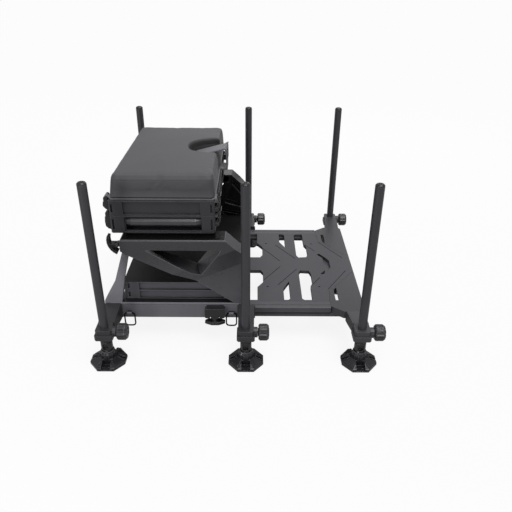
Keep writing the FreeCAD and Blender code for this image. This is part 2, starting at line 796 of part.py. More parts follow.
def catch_mount(pivot_height):
    """Two ears and a pin on a unit's front face."""
    face = at(unit_front)
    x = face + catch_set_out
    half = hinge_width / 2.0
    ear = catch_ear
    pieces = []
    for y0, y1 in ((-hinge_span - half - ear, -hinge_span - half), (-hinge_span + half, -hinge_span + half + ear)):
        pieces.append(box(face, x, y0, y1, pivot_height - 5.0, pivot_height + 5.0))
        pieces.append(drum(x, pivot_height, 5.0, y0, y1))
    pieces.append(rod(V(x, -hinge_span - half - ear, pivot_height), V(0, 1, 0), hinge_pin_dia / 2.0, hinge_width + 2.0 * ear))
    return fused(pieces)


def catch_lever(pivot_height):
    """Lever that turns on the lower unit's pin; its ramped lip snaps over the upper unit's ledge."""
    x = at(unit_front) + catch_set_out
    half = hinge_width / 2.0 - gap
    top = pivot_height + catch_arm
    barrel = drum(x, pivot_height, 5.0, -hinge_span - half, -hinge_span + half)
    # The ramp lies catch_gap off the ledge's chamfer.
    steep = hypot(ledge_chamfer, ledge_drop)
    along_x = -ledge_chamfer / steep
    along_z = ledge_drop / steep
    start_x = x + ledge_reach - catch_set_out + along_z * catch_gap
    start_z = top - ledge_drop - along_x * catch_gap
    arm_x = x + catch_plate_out
    foot_z = start_z - (arm_x - start_x) * along_z / -along_x
    tip_x = x + ledge_reach - catch_set_out - ledge_chamfer + 0.1
    tip_z = start_z + (start_x - tip_x) * along_z / -along_x
    outer_x = arm_x + 4.0
    profile = [
        (x, pivot_height + 4.4), (arm_x, pivot_height + 8.0), (arm_x, foot_z), (tip_x, tip_z), (tip_x, tip_z + 2.2),
        (x + 6.0, top + 4.5), (x + 10.5, top + 8.0), (x + 12.0, top + 6.5), (outer_x, top), (outer_x, pivot_height + 6.0),
        (x + 5.0, pivot_height), (x, pivot_height)]
    arm = prism_y(profile, -hinge_span - half, -hinge_span + half)
    bore = rod(V(x, -hinge_span - hinge_width, pivot_height), V(0, 1, 0), hinge_pin_dia / 2.0 + run_fit, 2.0 * hinge_width)
    return barrel.fuse(arm).cut(bore)


def catch_ledge(start, top, thick):
    """Ledge on the upper unit's front edge, its corner taken off where the catch's lip bears."""
    end = at(unit_front) + ledge_reach
    half = hinge_width / 2.0 - 1.0
    return prism_y([
        (start, top - thick), (end, top - thick), (end, top - ledge_drop), (end - ledge_chamfer, top), (start, top)],
        -hinge_span - half, -hinge_span + half)


def unit_shell(bottom, top, side_wall):
    """Open-topped tray with proud corner blocks, recessed sides and slotted corners."""
    x0 = at(unit_rear)
    x1 = at(unit_front)
    outer = box(x0, x1, -unit_half, unit_half, bottom, top)
    outer = chamfered(outer, 5.0, lambda e: along(e, V(0, 0, 1)))
    recess_depth = 6.0
    recess_margin = 4.0
    block_length = 40.0
    for sign in (-1.0, 1.0):
        y_face = sign * unit_half
        y0 = min(y_face, y_face - sign * recess_depth)
        y1 = max(y_face, y_face - sign * recess_depth)
        outer = outer.cut(box(x0 + block_length, x1 - block_length, y0 - 0.001, y1 + 0.001,
                              bottom + recess_margin, top - recess_margin))
        for x_slot in (x0 + 9.0, x1 - 9.0):
            outer = outer.cut(box(x_slot - 3.0, x_slot + 3.0, y0, y1, bottom + 10.0, top - 10.0))
    end_half = 190.0
    outer = outer.cut(box(x0 - 1.0, x0 + 5.0, -end_half, end_half, bottom + recess_margin, top - recess_margin))
    outer = outer.cut(box(x1 - 5.0, x1 + 1.0, -end_half, end_half, bottom + recess_margin, top - recess_margin))
    cavity = box(x0 + unit_wall, x1 - unit_wall, -unit_half + side_wall, unit_half - side_wall, bottom + unit_floor, top + 1.0)
    cavity = chamfered(cavity, 6.0, lambda e: along(e, V(0, 0, 1)))
    return outer.cut(cavity)


def deep_tray():
    """Lower seat unit, with hand pockets in both sides and a plinth on the brackets."""
    pocket_half = handle_length / 2.0 + 7.0
    shell = unit_shell(deep_bottom, deep_top, handle_pocket_depth + 4.0)
    x = at(handle_station)
    for sign in (-1.0, 1.0):
        y_face = sign * unit_half
        y_deep = y_face - sign * handle_pocket_depth
        pocket = box(x - pocket_half, x + pocket_half, min(y_face, y_deep) - 0.001, max(y_face, y_deep) + 0.001,
                     deep_bottom + 6.0, deep_top - 4.0)
        shell = shell.cut(pocket)
    plinth = box(at(bracket_rear + 12.0), at(unit_front - 14.0), -unit_half + 14.0, unit_half - 14.0, bracket_top, deep_bottom)
    return fused([shell, plinth])


def carry_handle():
    """Grip bar across the top of a hand pocket, with ends that slope back into the pocket."""
    x = at(handle_station)
    half = handle_length / 2.0 + 7.0
    top = deep_top - 8.0
    low = top - 21.0
    outer = unit_half + handle_proud
    back = outer - handle_depth
    bar_half = half - 17.0
    section = [(-outer, low + 4.0), (-outer + 3.0, low), (-back, low), (-back, top), (-outer + 7.0, top), (-outer, top - 7.0)]
    end = [(-outer + 8.0, low + 4.0), (-outer + 10.0, low), (-back, low), (-back, top - 3.0), (-outer + 11.0, top - 3.0),
           (-outer + 8.0, top - 7.0)]
    rings = []
    for place, corners in ((-half, end), (-bar_half, section), (bar_half, section), (half, end)):
        rings.append([V(x + place, y, z) for y, z in corners])
    return skin(rings)


def shallow_tray():
    """Upper seat unit, hinged on the deep tray."""
    shell = unit_shell(shallow_bottom, shallow_top, unit_wall)
    lug, bore = hinge_lug(shallow_bottom, 5.0)
    shell = fused([shell, lug, mirrored(lug)])
    return shell.cut(bore).cut(mirrored(bore))


def deep_fittings():
    """Hinge blocks and catch ears that stand on the deep tray."""
    pieces = [hinge_block(shallow_bottom + 2.5, deep_bottom + 6.0), catch_mount(shallow_bottom + 5.0 - catch_arm)]
    return Part.makeCompound(pieces + [mirrored(piece) for piece in pieces])


def shallow_fittings():
    """Hinge blocks, catch ears and the lower catches' ledges on the shallow tray."""
    pieces = [
        hinge_block(lid_bottom + lid_thick / 2.0, shallow_bottom + 13.0), catch_mount(lid_top - catch_arm),
        catch_ledge(at(unit_front), shallow_bottom + 5.0, 5.0)]
    return Part.makeCompound(pieces + [mirrored(piece) for piece in pieces])


def seat_lid():
    """Lid board under the cushion, with hinge lugs, the lifting tongue and a ledge for each catch."""
    edge = at(unit_front + 2.0)
    board = box(at(unit_rear + 2.0), edge, -cushion_half + 1.0, cushion_half - 1.0, lid_bottom, lid_top)
    board = chamfered(board, 6.0, lambda e: along(e, V(0, 0, 1)))
    lug, bore = hinge_lug(lid_bottom, lid_thick)
    drop = tongue_thick
    tongue = prism_y([
        (at(cushion_front - 8.0), lid_bottom), (at(tongue_front), lid_bottom), (at(tongue_front), tongue_top - 8.0),
        (at(tongue_front - 9.0), tongue_top), (at(tongue_rear), tongue_low), (at(tongue_rear), tongue_low - drop + 2.0),
        (at(tongue_rear + 4.0), tongue_low - drop), (at(tongue_front - 10.0), tongue_top - drop - 1.0),
        (at(tongue_front - drop), tongue_top - 12.0), (at(tongue_front - drop), lid_top), (at(cushion_front - 8.0), lid_top)],
        tongue_right, tongue_left)
    tongue = chamfered(tongue, 2.0, lambda e: e.BoundBox.ZMin > tongue_low - 1.0 and e.BoundBox.YLength < 0.1
                       and e.BoundBox.XLength > 20.0 and e.BoundBox.ZMax > tongue_top - 1.0)
    board = fused([board, lug, mirrored(lug), tongue]).cut(bore).cut(mirrored(bore))
    ledge = catch_ledge(edge, lid_top, lid_thick)
    return Part.makeCompound([board, ledge, mirrored(ledge)])


def seat_cushion():
    """Moulded foam pad: crowned top, rounded shoulders, sides drawn in above a flared skirt."""
    levels = ((0.0, 0.0), (6.0, 1.5), (30.0, 5.0), (48.0, 7.0), (56.0, 11.0), (60.0, 21.0))
    wires = []
    for height, inset in levels:
        x0 = at(cushion_rear) + inset
        x1 = at(cushion_front) - inset * 0.6
        y1 = cushion_half - inset * 1.15
        radius = 14.0 + inset * 0.3
        z = cushion_bottom + height * (cushion_thick / 60.0)
        wires.append(rounded_wire(x0, x1, -y1, y1, radius, z))
    body = loft(wires)
    drop = cushion_crown
    half = cushion_half
    bow = (half * half + drop * drop) / (2.0 * drop)
    crown = rod(V(at(cushion_rear) - 10.0, 0, cushion_top - bow), V(1, 0, 0), bow, cushion_front - cushion_rear + 20.0)
    body = body.common(crown)
    # The scoop's wall is steep on the left and at the rear, and slopes gently on the right.
    depth = cushion_top - scoop_floor
    over = 6.0
    wires = []
    for z in (scoop_floor, cushion_top + over):
        part = (cushion_top - z) / depth
        wires.append(scoop_wire(15.0 * part, 8.0 * part, 24.0 * part, z))
    return body.cut(loft(wires))


def scoop_wire(rear_inset, left_inset, right_inset, z):
    """Outline of the scoop at one height: a round rear end opening toward the front."""
    rear = scoop_rear + rear_inset
    left = scoop_left - left_inset
    right = scoop_right + right_inset
    front = cushion_front + 12.0
    shoulder = rear + 13.0
    points = [
        (rear + 18.0, right + 17.0), (rear + 1.0, (left + right) / 2.0 - 12.0), (shoulder, left - 38.0),
        (rear + 46.0, left - 10.0), (front, left), (front, (left + right) / 2.0), (front, right), (rear + 58.0, right + 1.5),
        (rear + 18.0, right + 17.0)]
    spots = [V(at(x), y, z) for x, y in points]
    edges = [
        Part.Arc(spots[0], spots[1], spots[2]).toShape(), Part.Arc(spots[2], spots[3], spots[4]).toShape(),
        Part.LineSegment(spots[4], spots[6]).toShape(), Part.Arc(spots[6], spots[7], spots[8]).toShape()]
    return Part.Wire(edges)


def rounded_wire(x0, x1, y0, y1, radius, z):
    """Rectangle with arcs at its corners."""
    edges = []
    corners = ((x1, y0, -90.0), (x1, y1, 0.0), (x0, y1, 90.0), (x0, y0, 180.0))
    starts = []
    for cx, cy, turn in corners:
        mx = cx - radius if cx == x1 else cx + radius
        my = cy - radius if cy == y1 else cy + radius
        pts = [V(mx + radius * cos(radians(turn + a)), my + radius * sin(radians(turn + a)), z) for a in (0.0, 45.0, 90.0)]
        starts.append(pts)
    for i, pts in enumerate(starts):
        edges.append(Part.Arc(pts[0], pts[1], pts[2]).toShape())
        edges.append(Part.LineSegment(pts[2], starts[(i + 1) % 4][0]).toShape())
    return Part.Wire(edges)


# Lower drawers

def drawer_case():
    """Two-storey case, open at its front, with the unit's corner blocks and slots."""
    x0 = at(case_rear)
    x1 = at(case_front)
    top = rail_top + case_height
    middle = rail_top + case_height / 2.0
    outer = box(x0, x1, -case_half, case_half, rail_top, top)
    outer = chamfered(outer, 4.0, lambda e: along(e, V(0, 0, 1)))
    recess = 5.0
    for sign in (-1.0, 1.0):
        y_face = sign * case_half
        y0 = min(y_face, y_face - sign * recess)
        y1 = max(y_face, y_face - sign * recess)
        for low, high in ((rail_top, middle), (middle, top)):
            outer = outer.cut(box(x0 + 46.0, x1 - 46.0, y0 - 0.001, y1 + 0.001, low + 2.5, high - 2.5))
            outer = outer.cut(box(x0 + 12.0, x0 + 18.0, y0, y1, low + 8.0, high - 6.0))
            outer = outer.cut(box(x1 - 18.0, x1 - 12.0, y0, y1, low + 8.0, high - 6.0))
    half = case_half - case_side
    for low, high in drawer_bays():
        outer = outer.cut(box(x0 + case_wall, x1 + 1.0, -half, half, low, high))
    return outer


def drawer_bays():
    """Bottom and top of the lower and upper bays."""
    middle = rail_top + case_height / 2.0
    web = case_wall / 2.0
    return ((rail_top + web + 1.0, middle - web), (middle + web, rail_top + case_height - case_wall))


def drawer(bay):
    """Sliding tray with a finger lip across its front."""
    low, high = bay
    x0 = at(case_rear) + case_wall + 1.0
    x1 = at(case_front) + gap
    half = case_half - case_side - gap - 0.2
    tray = box(x0, x1 + 1.0, -half, half, low + gap, high - 3.0)
    hollow = box(x0 + drawer_wall, x1 - drawer_wall, -half + drawer_wall, half - drawer_wall, low + gap + drawer_wall, high)
    face = box(x1, x1 + drawer_face, -case_half + 2.0, case_half - 2.0, low + 0.2, high + 0.2)
    face = chamfered(face, 2.0, lambda e: along(e, V(1, 0, 0)))
    lip = prism_y([
        (x1 + drawer_face - 0.5, high - 2.0), (x1 + drawer_face + 11.0, high - 4.0), (x1 + drawer_face + 11.0, high - 9.0),
        (x1 + drawer_face + 8.0, high - 9.0), (x1 + drawer_face + 7.0, high - 6.0), (x1 + drawer_face - 0.5, high - 5.0)],
        -60.0, 60.0)
    return fused([tray, face, lip]).cut(hollow)


# Footplate

def footplate_deck():
    """Moulded deck with slots, a diamond window and chevron grooves."""
    low = deck_top - deck_thick
    half = [
        (at(deck_rear), 0.0), (at(deck_rear), -45.0), (at(452.0), -45.0), (at(461.0), -62.0), (at(461.0), -123.0),
        (at(442.0), -154.0), (at(442.0), -229.0), (at(deck_rear), -229.0), (at(deck_rear), -deck_half),
        (at(edge_front), -deck_half), (at(674.0), -166.0), (at(691.0), -152.0), (at(762.0), -57.0),
        (at(deck_front), -57.0)]
    deck = prism_z(half[1:] + [(x, -y) for x, y in reversed(half[1:])], low, deck_top)
    slots = (
        [(526.0, -163.0), (546.0, -119.0), (546.0, -221.0), (539.0, -228.0), (526.0, -228.0)],
        [(583.0, -221.0), (590.0, -228.0), (615.0, -228.0), (616.0, -147.0), (624.0, -127.0), (624.0, -70.0),
         (618.0, -48.0), (590.0, -45.0), (583.0, -60.0)],
    )
    for slot in slots:
        cutter = prism_z([(at(x), y) for x, y in slot], low - 1.0, deck_top + 1.0)
        deck = deck.cut(cutter).cut(mirrored(cutter))
    window = [(657.0, -68.0), (665.0, -74.0), (684.0, -48.0), (696.0, -24.0), (696.0, 24.0), (684.0, 48.0),
              (665.0, 74.0), (657.0, 68.0), (675.0, 42.0), (675.0, -42.0)]
    deck = deck.cut(prism_z([(at(x), y) for x, y in window], low - 1.0, deck_top + 1.0))
    grooves = (((445.0, -139.0), (522.0, -19.0)), ((509.0, -141.0), (577.0, -37.0)), ((620.0, -143.0), (652.0, -92.0)),
               ((671.0, -165.0), (745.0, -46.0)))
    for start, end in grooves:
        cutter = groove(start, end)
        deck = deck.cut(cutter).cut(mirrored(cutter))
    for x, y in ((475.0, -150.0), (644.0, -150.0)):
        dimple = prism_z([(at(x) + px, y + py) for px, py in ring_points(8, 3.5)], deck_top - 2.0, deck_top + 1.0)
        deck = deck.cut(dimple).cut(mirrored(dimple))
    # Ribs and a skirt stiffen the underside.
    pocket_depth = deck_thick - 6.0
    for x0, x1, y0, y1 in ((466.0, 520.0, -225.0, -170.0), (552.0, 577.0, -225.0, -150.0), (630.0, 662.0, -225.0, -170.0),
                           (470.0, 576.0, -30.0, 30.0), (702.0, 762.0, -48.0, 48.0)):
        pocket = box(at(x0), at(x1), y0, y1, low - 1.0, low + pocket_depth)
        deck = deck.cut(pocket)
        if y1 < 0:
            deck = deck.cut(mirrored(pocket))
    return deck


def groove(start, end):
    """Straight shallow channel in the deck's top."""
    dx = end[0] - start[0]
    dy = end[1] - start[1]
    length = hypot(dx, dy)
    channel = box(0.0, length, -groove_width / 2.0, groove_width / 2.0, 0.0, groove_depth + 1.0)
    channel.rotate(V(0, 0, 0), V(0, 0, 1), degrees(atan2(dy, dx)))
    channel.translate(V(at(start[0]), start[1], deck_top - groove_depth))
    return channel


def footplate_edge_rail():
    """Extruded edge of the footplate with a grooved top and a lip under the deck."""
    outer = -rail_outer + gap
    inner = -deck_half - seam
    low = deck_top - edge_height
    mid = deck_top - deck_thick
    line = -255.0
    end = [
        (outer, low + 3.0), (outer, deck_top - 2.0), (outer + 2.0, deck_top), (line - 1.0, deck_top), (line - 1.0, deck_top - 1.5),
        (line + 1.0, deck_top - 1.5), (line + 1.0, deck_top), (inner, deck_top), (inner, mid), (inner + edge_lip, mid),
        (inner + edge_lip, low), (outer + 3.0, low)]
    return prism_x(end, at(deck_rear), at(edge_front))


def footplate_subframe():
    """Two flat runners that slide in the side rails, and two bars across under the deck."""
    low = deck_top - edge_height
    runner_outer = -rail_outer + rail_wall + gap
    runner_inner = -rail_outer + rail_width - rail_wall - gap
    runner = box(at(rail_front - footplate_travel - runner_hold), at(runner_front), runner_outer, runner_inner, low - runner_height, low)
    bar_half = deck_half + seam - edge_lip
    bars = [box(at(x), at(x + 20.0), -bar_half, bar_half, low, deck_top - deck_thick) for x in (488.0, 634.0)]
    bars.append(box(at(672.0), at(699.0), -56.0, 56.0, low, deck_top - deck_thick))
    return Part.makeCompound([runner, mirrored(runner)] + bars)


# Strap rings

def strap_ring(station):
    """Wire ring, six-sided in section, that hangs from a lug on the side rail."""
    x = at(station)
    half = (ring_width - ring_wire) / 2.0
    corner = 9.0
    y = -rail_outer - ring_set_out
    top = ring_axis_height
    low = top - ring_height + ring_wire
    centres = ((x + half - corner, top - corner, 0.0), (x - half + corner, top - corner, 90.0),
               (x - half + corner, low + corner, 180.0), (x + half - corner, low + corner, 270.0))
    route = []
    for cx, cz, turn in centres:
        for step in (0.0, 30.0, 60.0, 90.0):
            angle = radians(turn + step)
            route.append(V(cx + corner * cos(angle), y, cz + corner * sin(angle)))
    rings = []
    for i, spot in enumerate(route):
        arriving = (spot - route[i - 1]).normalize()
        leaving = (route[(i + 1) % len(route)] - spot).normalize()
        tangent = (arriving + leaving).normalize()
        stretch = 1.0 / tangent.dot(leaving)
        outward = V(tangent.z, 0, -tangent.x)
        ring = []
        for side, across in ring_points(6, ring_wire / 2.0, pi / 6.0):
            ring.append(spot + outward * (side * stretch) + V(0, across, 0))
        rings.append(ring)
    return skin(rings, True)


def ring_lug(station):
    """Strap lug that holds the ring's top bar on the rail's face."""
    x = at(station)
    y = -rail_outer - ring_set_out
    lug_half = 7.0
    outer_radius = ring_wire / 2.0 + 2.6
    barrel = prism_x([(y + py, ring_axis_height + pz) for py, pz in ring_points(12, outer_radius, pi / 12.0)],
                     x - lug_half, x + lug_half)
    pad = box(x - lug_half, x + lug_half, y, -rail_outer, ring_axis_height - outer_radius + 0.2,
              ring_axis_height + outer_radius - 0.2)
    bore = rod(V(x - lug_half - 1.0, y, ring_axis_height), V(1, 0, 0), ring_wire / 2.0 + 0.1, 2.0 * lug_half + 2.0)
    return barrel.fuse(pad).cut(bore)


def write_all():
    """Build every node and write it."""
    os.makedirs("parts", exist_ok=True)
    pieces = {
        "leg_": leg_tube("rear"),
        "leg_ends_": Part.makeCompound([leg_cap("rear"), ankle("rear")]),
        "mud_foot_": mud_foot("rear"),
        "clamp_knob_": clamp_knob("rear"),
    }
    for row, station in row_station.items():
        for prefix, piece in pieces.items():
            placed = piece.copy()
            placed.translate(V(station - row_station["rear"], 0, 0))
            for side in ("right", "left"):
                save(on_side(placed, side), prefix + row + "_" + side)
    castings = [base_clamp("rear"), base_clamp("mid")]
    rail = fused([side_rail(), ring_lug(ring_rear_station), ring_lug(ring_mid_station)])
    pairs = {
        "side_rail_": rail,
        "seat_bracket_": seat_bracket(),
        "runner_lock_knob_": lock_knob(),
        "strap_ring_rear_": strap_ring(ring_rear_station),
        "strap_ring_mid_": strap_ring(ring_mid_station),
    }
    for prefix, piece in pairs.items():
        for side in ("right", "left"):
            save(on_side(piece, side), prefix + side)
    lower_bay, upper_bay = drawer_bays()
    singles = {
        "base_leg_clamps": Part.makeCompound(castings + [mirrored(piece) for piece in castings]),
        "footplate_leg_clamps": both_sides(footplate_clamp()),
        "carry_handles": both_sides(carry_handle()),
        "cross_rails": Part.makeCompound([cross_rail(cross_rear), cross_rail(cross_front)]),
        "runner_lock_blocks": both_sides(lock_block()),
        "rear_struts": both_sides(rear_strut()),
        "seat_latches": both_sides(seat_latch()),
        "drawer_case": drawer_case(),
        "drawer_lower": drawer(lower_bay),
        "drawer_upper": drawer(upper_bay),
        "deep_tray": deep_tray(),
        "deep_tray_fittings": deep_fittings(),
        "tray_catches": both_sides(catch_lever(shallow_bottom + 5.0 - catch_arm)),
        "shallow_tray": shallow_tray(),
        "shallow_tray_fittings": shallow_fittings(),
        "lid_catches": both_sides(catch_lever(lid_top - catch_arm)),
        "seat_lid": seat_lid(),
        "seat_cushion": seat_cushion(),
        "footplate_deck": footplate_deck(),
        "footplate_edge_rails": both_sides(footplate_edge_rail()),
        "footplate_subframe": footplate_subframe(),
    }
    for node, piece in singles.items():
        save(piece, node)


write_all()
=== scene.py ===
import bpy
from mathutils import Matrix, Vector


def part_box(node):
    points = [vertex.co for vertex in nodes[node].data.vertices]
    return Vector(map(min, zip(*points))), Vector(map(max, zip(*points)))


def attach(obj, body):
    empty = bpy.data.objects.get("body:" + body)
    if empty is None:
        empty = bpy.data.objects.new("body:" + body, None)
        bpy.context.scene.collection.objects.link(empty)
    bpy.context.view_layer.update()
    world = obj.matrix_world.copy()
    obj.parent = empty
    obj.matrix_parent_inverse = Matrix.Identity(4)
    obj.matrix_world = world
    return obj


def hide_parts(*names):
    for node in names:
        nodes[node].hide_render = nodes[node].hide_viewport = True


bl_info = {
    "name": "Fishing seat box",
    "version": (1, 0, 0),
    "blender": (4, 5, 0),
    "location": "View3D > Sidebar > Seat Box",
    "description": "Fine pieces, finishes, camera and light of a fishing seat box on its packed frame",
    "category": "Object",
}

from math import atan2, cos, pi, radians, sin

import bpy
import numpy as np
from mathutils import Matrix, Vector

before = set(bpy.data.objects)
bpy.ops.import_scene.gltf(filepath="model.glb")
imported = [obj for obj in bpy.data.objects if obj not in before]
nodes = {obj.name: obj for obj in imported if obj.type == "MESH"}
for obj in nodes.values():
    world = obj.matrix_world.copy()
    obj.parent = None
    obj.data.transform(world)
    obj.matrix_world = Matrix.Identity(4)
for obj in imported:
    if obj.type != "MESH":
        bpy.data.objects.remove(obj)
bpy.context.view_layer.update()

ROWS = ("rear", "mid", "front")
SIDES = ("right", "left")
SHOULDER = 0.5175  # height of the cushion's shoulder seam
SEAM_WIDTH, SEAM_DEPTH = 0.0016, 0.0005
SKIRT_HEIGHT = 0.022  # of the cushion's sides that flare out
SIDE_SHADE_TOP = (0.5285, 0.5312)  # heights between which the painted shade on the cover's sides ends
SCOOP_Y, SCOOP_HALF_WIDTH, SCOOP_REAR_X = 0.0255, 0.080, -0.166
FOAM_STEPS = 20
MERGE = 0.00002  # distance at which a CAD mesh's doubled points are one
RAIL_SHADE_TOP = 0.0985  # height of the footplate edge rails' flange, below which painted shadow darkens them
RING_WIDTH, RING_TEETH = 0.0038, 24
CAMERA_AT = (0.04835, -1.6436, 1.0601)
CAMERA_TURN = (-0.349, 29.05, -0.483)  # yaw, pitch down and roll in degrees
FOCAL_PX, PHOTO_PX, SENSOR_MM = 540.0, 512.0, 36.0
LIGHTS_AIM = (0.0, 0.0, 0.25)


def linear(code):
    """Linear colour of an sRGB hex value."""
    parts = [int(code[i:i + 2], 16) / 255.0 for i in (1, 3, 5)]
    return tuple([c / 12.92 if c <= 0.04045 else ((c + 0.055) / 1.055) ** 2.4 for c in parts] + [1.0])


def middle(node):
    """Centre of a CAD node's box."""
    low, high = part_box(node)
    return (low + high) / 2.0


# Sizes and colours that a user would change

class SeatBoxSizes(bpy.types.PropertyGroup):
    pad_voxel: bpy.props.FloatProperty(
        name="Pad voxel", description="Voxel of the cushion's remesh", default=0.0045, unit="LENGTH")
    pad_swell: bpy.props.FloatProperty(
        name="Pad swell", description="Most that the foam pushes its cover out",
        default=0.0025, unit="LENGTH")
    pad_rise: bpy.props.FloatProperty(
        name="Pad rise", description="How far the top stands above the moulded pad",
        default=0.005, unit="LENGTH")
    pad_shoulder: bpy.props.FloatProperty(
        name="Pad shoulder", description="How far the top's edge is drawn in above the shoulder seam",
        default=0.009, unit="LENGTH")
    pad_flare: bpy.props.FloatProperty(
        name="Skirt flare", description="How far the skirt stands out at the sides",
        default=0.0058, unit="LENGTH")
    pad_lip: bpy.props.FloatProperty(
        name="Skirt lip", description="How far the skirt hangs over the lid's edge",
        default=0.0052, unit="LENGTH")
    pad_pressure: bpy.props.FloatProperty(
        name="Pad pressure", description="Pressure of the foam on its cover", default=4.0)


class SeatBoxColours(bpy.types.PropertyGroup):
    tube: bpy.props.FloatVectorProperty(
        name="Leg tube", description="Powder coat of the legs", size=4, subtype="COLOR",
        default=linear("#414145"))
    rail: bpy.props.FloatVectorProperty(
        name="Side rails", description="Powder coat of the base's side rails", size=4, subtype="COLOR",
        default=linear("#727178"))
    edge: bpy.props.FloatVectorProperty(
        name="Edge rails", description="Powder coat of the cross rails and the footplate's rails",
        size=4, subtype="COLOR", default=linear("#545459"))
    casting: bpy.props.FloatVectorProperty(
        name="Castings", description="Powder coat of the base leg clamps", size=4, subtype="COLOR",
        default=linear("#343437"))
    corner: bpy.props.FloatVectorProperty(
        name="Footplate corners", description="Powder coat of the footplate's corner castings",
        size=4, subtype="COLOR", default=linear("#444448"))
    strut: bpy.props.FloatVectorProperty(
        name="Struts", description="Powder coat of the rear struts", size=4, subtype="COLOR",
        default=linear("#8c8c92"))
    bracket: bpy.props.FloatVectorProperty(
        name="Brackets", description="Glass-filled nylon of the seat brackets", size=4, subtype="COLOR",
        default=linear("#4b4b4f"))
    case: bpy.props.FloatVectorProperty(
        name="Trays", description="ABS of the seat trays", size=4, subtype="COLOR",
        default=linear("#36363a"))
    drawer: bpy.props.FloatVectorProperty(
        name="Drawers", description="Grey of the drawers and the foot rings", size=4, subtype="COLOR",
        default=linear("#505055"))
    shell: bpy.props.FloatVectorProperty(
        name="Drawer case", description="ABS of the drawers' case", size=4, subtype="COLOR",
        default=linear("#66666c"))
    lid: bpy.props.FloatVectorProperty(
        name="Lid", description="ABS of the lid and its tongue", size=4, subtype="COLOR",
        default=linear("#7a7a7f"))
    deck: bpy.props.FloatVectorProperty(
        name="Deck", description="Polypropylene of the footplate", size=4, subtype="COLOR",
        default=linear("#4e4e53"))
    foot: bpy.props.FloatVectorProperty(
        name="Mud feet", description="Nylon of the mud feet and their pads", size=4, subtype="COLOR",
        default=linear("#29292c"))
    knob: bpy.props.FloatVectorProperty(
        name="Knobs", description="Nylon of knobs, leg ends, fittings and catches", size=4, subtype="COLOR",
        default=linear("#29292b"))
    handle: bpy.props.FloatVectorProperty(
        name="Handles", description="Nylon of the carry handles", size=4, subtype="COLOR",
        default=linear("#4a4a4e"))
    cover: bpy.props.FloatVectorProperty(
        name="Seat cover", description="Coated cover of the cushion", size=4, subtype="COLOR",
        default=linear("#57575b"))
    wire: bpy.props.FloatVectorProperty(
        name="Wire", description="Blackened steel of the strap rings", size=4, subtype="COLOR",
        default=linear("#1d1d1f"))


# Materials

def add(tree, kind, settings=None, links=None):
    """Adds a node, sets its inputs or properties, and links inputs to other nodes' sockets."""
    node = tree.nodes.new(kind)
    for key, value in (settings or {}).items():
        if isinstance(key, str) and hasattr(node, key):
            setattr(node, key, value)
        else:
            node.inputs[key].default_value = value
    for key, socket in (links or {}).items():
        tree.links.new(socket, node.inputs[key])
    return node


def start_material(name):
    """A new material with its shader and the object's coordinates."""
    material = bpy.data.materials.new(name)
    material.use_nodes = True
    tree = material.node_tree
    tree.nodes.clear()
    output = tree.nodes.new("ShaderNodeOutputMaterial")
    shader = tree.nodes.new("ShaderNodeBsdfPrincipled")
    tree.links.new(shader.outputs[0], output.inputs[0])
    place = tree.nodes.new("ShaderNodeTexCoord").outputs["Object"]
    return material, tree, shader, place


def shade_range(tree, fac, base, low, high):
    """Colour that runs from base times low to base times high as fac goes from 0 to 1."""
    dark = tuple([c * low for c in base[:3]] + [1.0])
    light = tuple([min(1.0, c * high) for c in base[:3]] + [1.0])
    mix = add(tree, "ShaderNodeMix", {"data_type": "RGBA"})
    mix.inputs["A"].default_value = dark
    mix.inputs["B"].default_value = light
    tree.links.new(fac, mix.inputs["Factor"])
    return mix.outputs["Result"]


def rounded_edge_and_glint(tree, radius):
    """A softened normal for edges, and a mask that is 1 along them, where a painted highlight brightens the
    colour.
    """
    soft = add(tree, "ShaderNodeBevel", {"samples": 6, "Radius": radius})
    true = tree.nodes.new("ShaderNodeNewGeometry")
    match = add(tree, "ShaderNodeVectorMath", {"operation": "DOT_PRODUCT"},
                {0: soft.outputs[0], 1: true.outputs["Normal"]})
    mask = add(tree, "ShaderNodeMapRange", {"From Min": 0.995, "From Max": 0.86},
               {"Value": match.outputs["Value"]})
    return soft.outputs[0], mask.outputs[0]


def pocket_shade(tree, colour, depth, least, shut=0.25, clear=0.85):
    """Darkens a colour in the piece's own deep pockets: painted shade from local ambient occlusion."""
    open_sky = add(tree, "ShaderNodeAmbientOcclusion", {"samples": 6, "only_local": True, "Distance": depth})
    share = add(tree, "ShaderNodeMapRange",
                {"From Min": shut, "From Max": clear, "To Min": least, "To Max": 1.0},
                {"Value": open_sky.outputs["AO"]})
    return add(tree, "ShaderNodeVectorMath", {"operation": "SCALE"},
               {0: colour, "Scale": share.outputs[0]}).outputs[0]


def brighter(tree, colour, mask, gain):
    """The colour times 1 + gain where the mask is 1."""
    share = add(tree, "ShaderNodeMath", {"operation": "MULTIPLY_ADD", 1: gain, 2: 1.0}, {0: mask})
    return add(tree, "ShaderNodeVectorMath", {"operation": "SCALE"},
               {0: colour, "Scale": share.outputs[0]}).outputs[0]


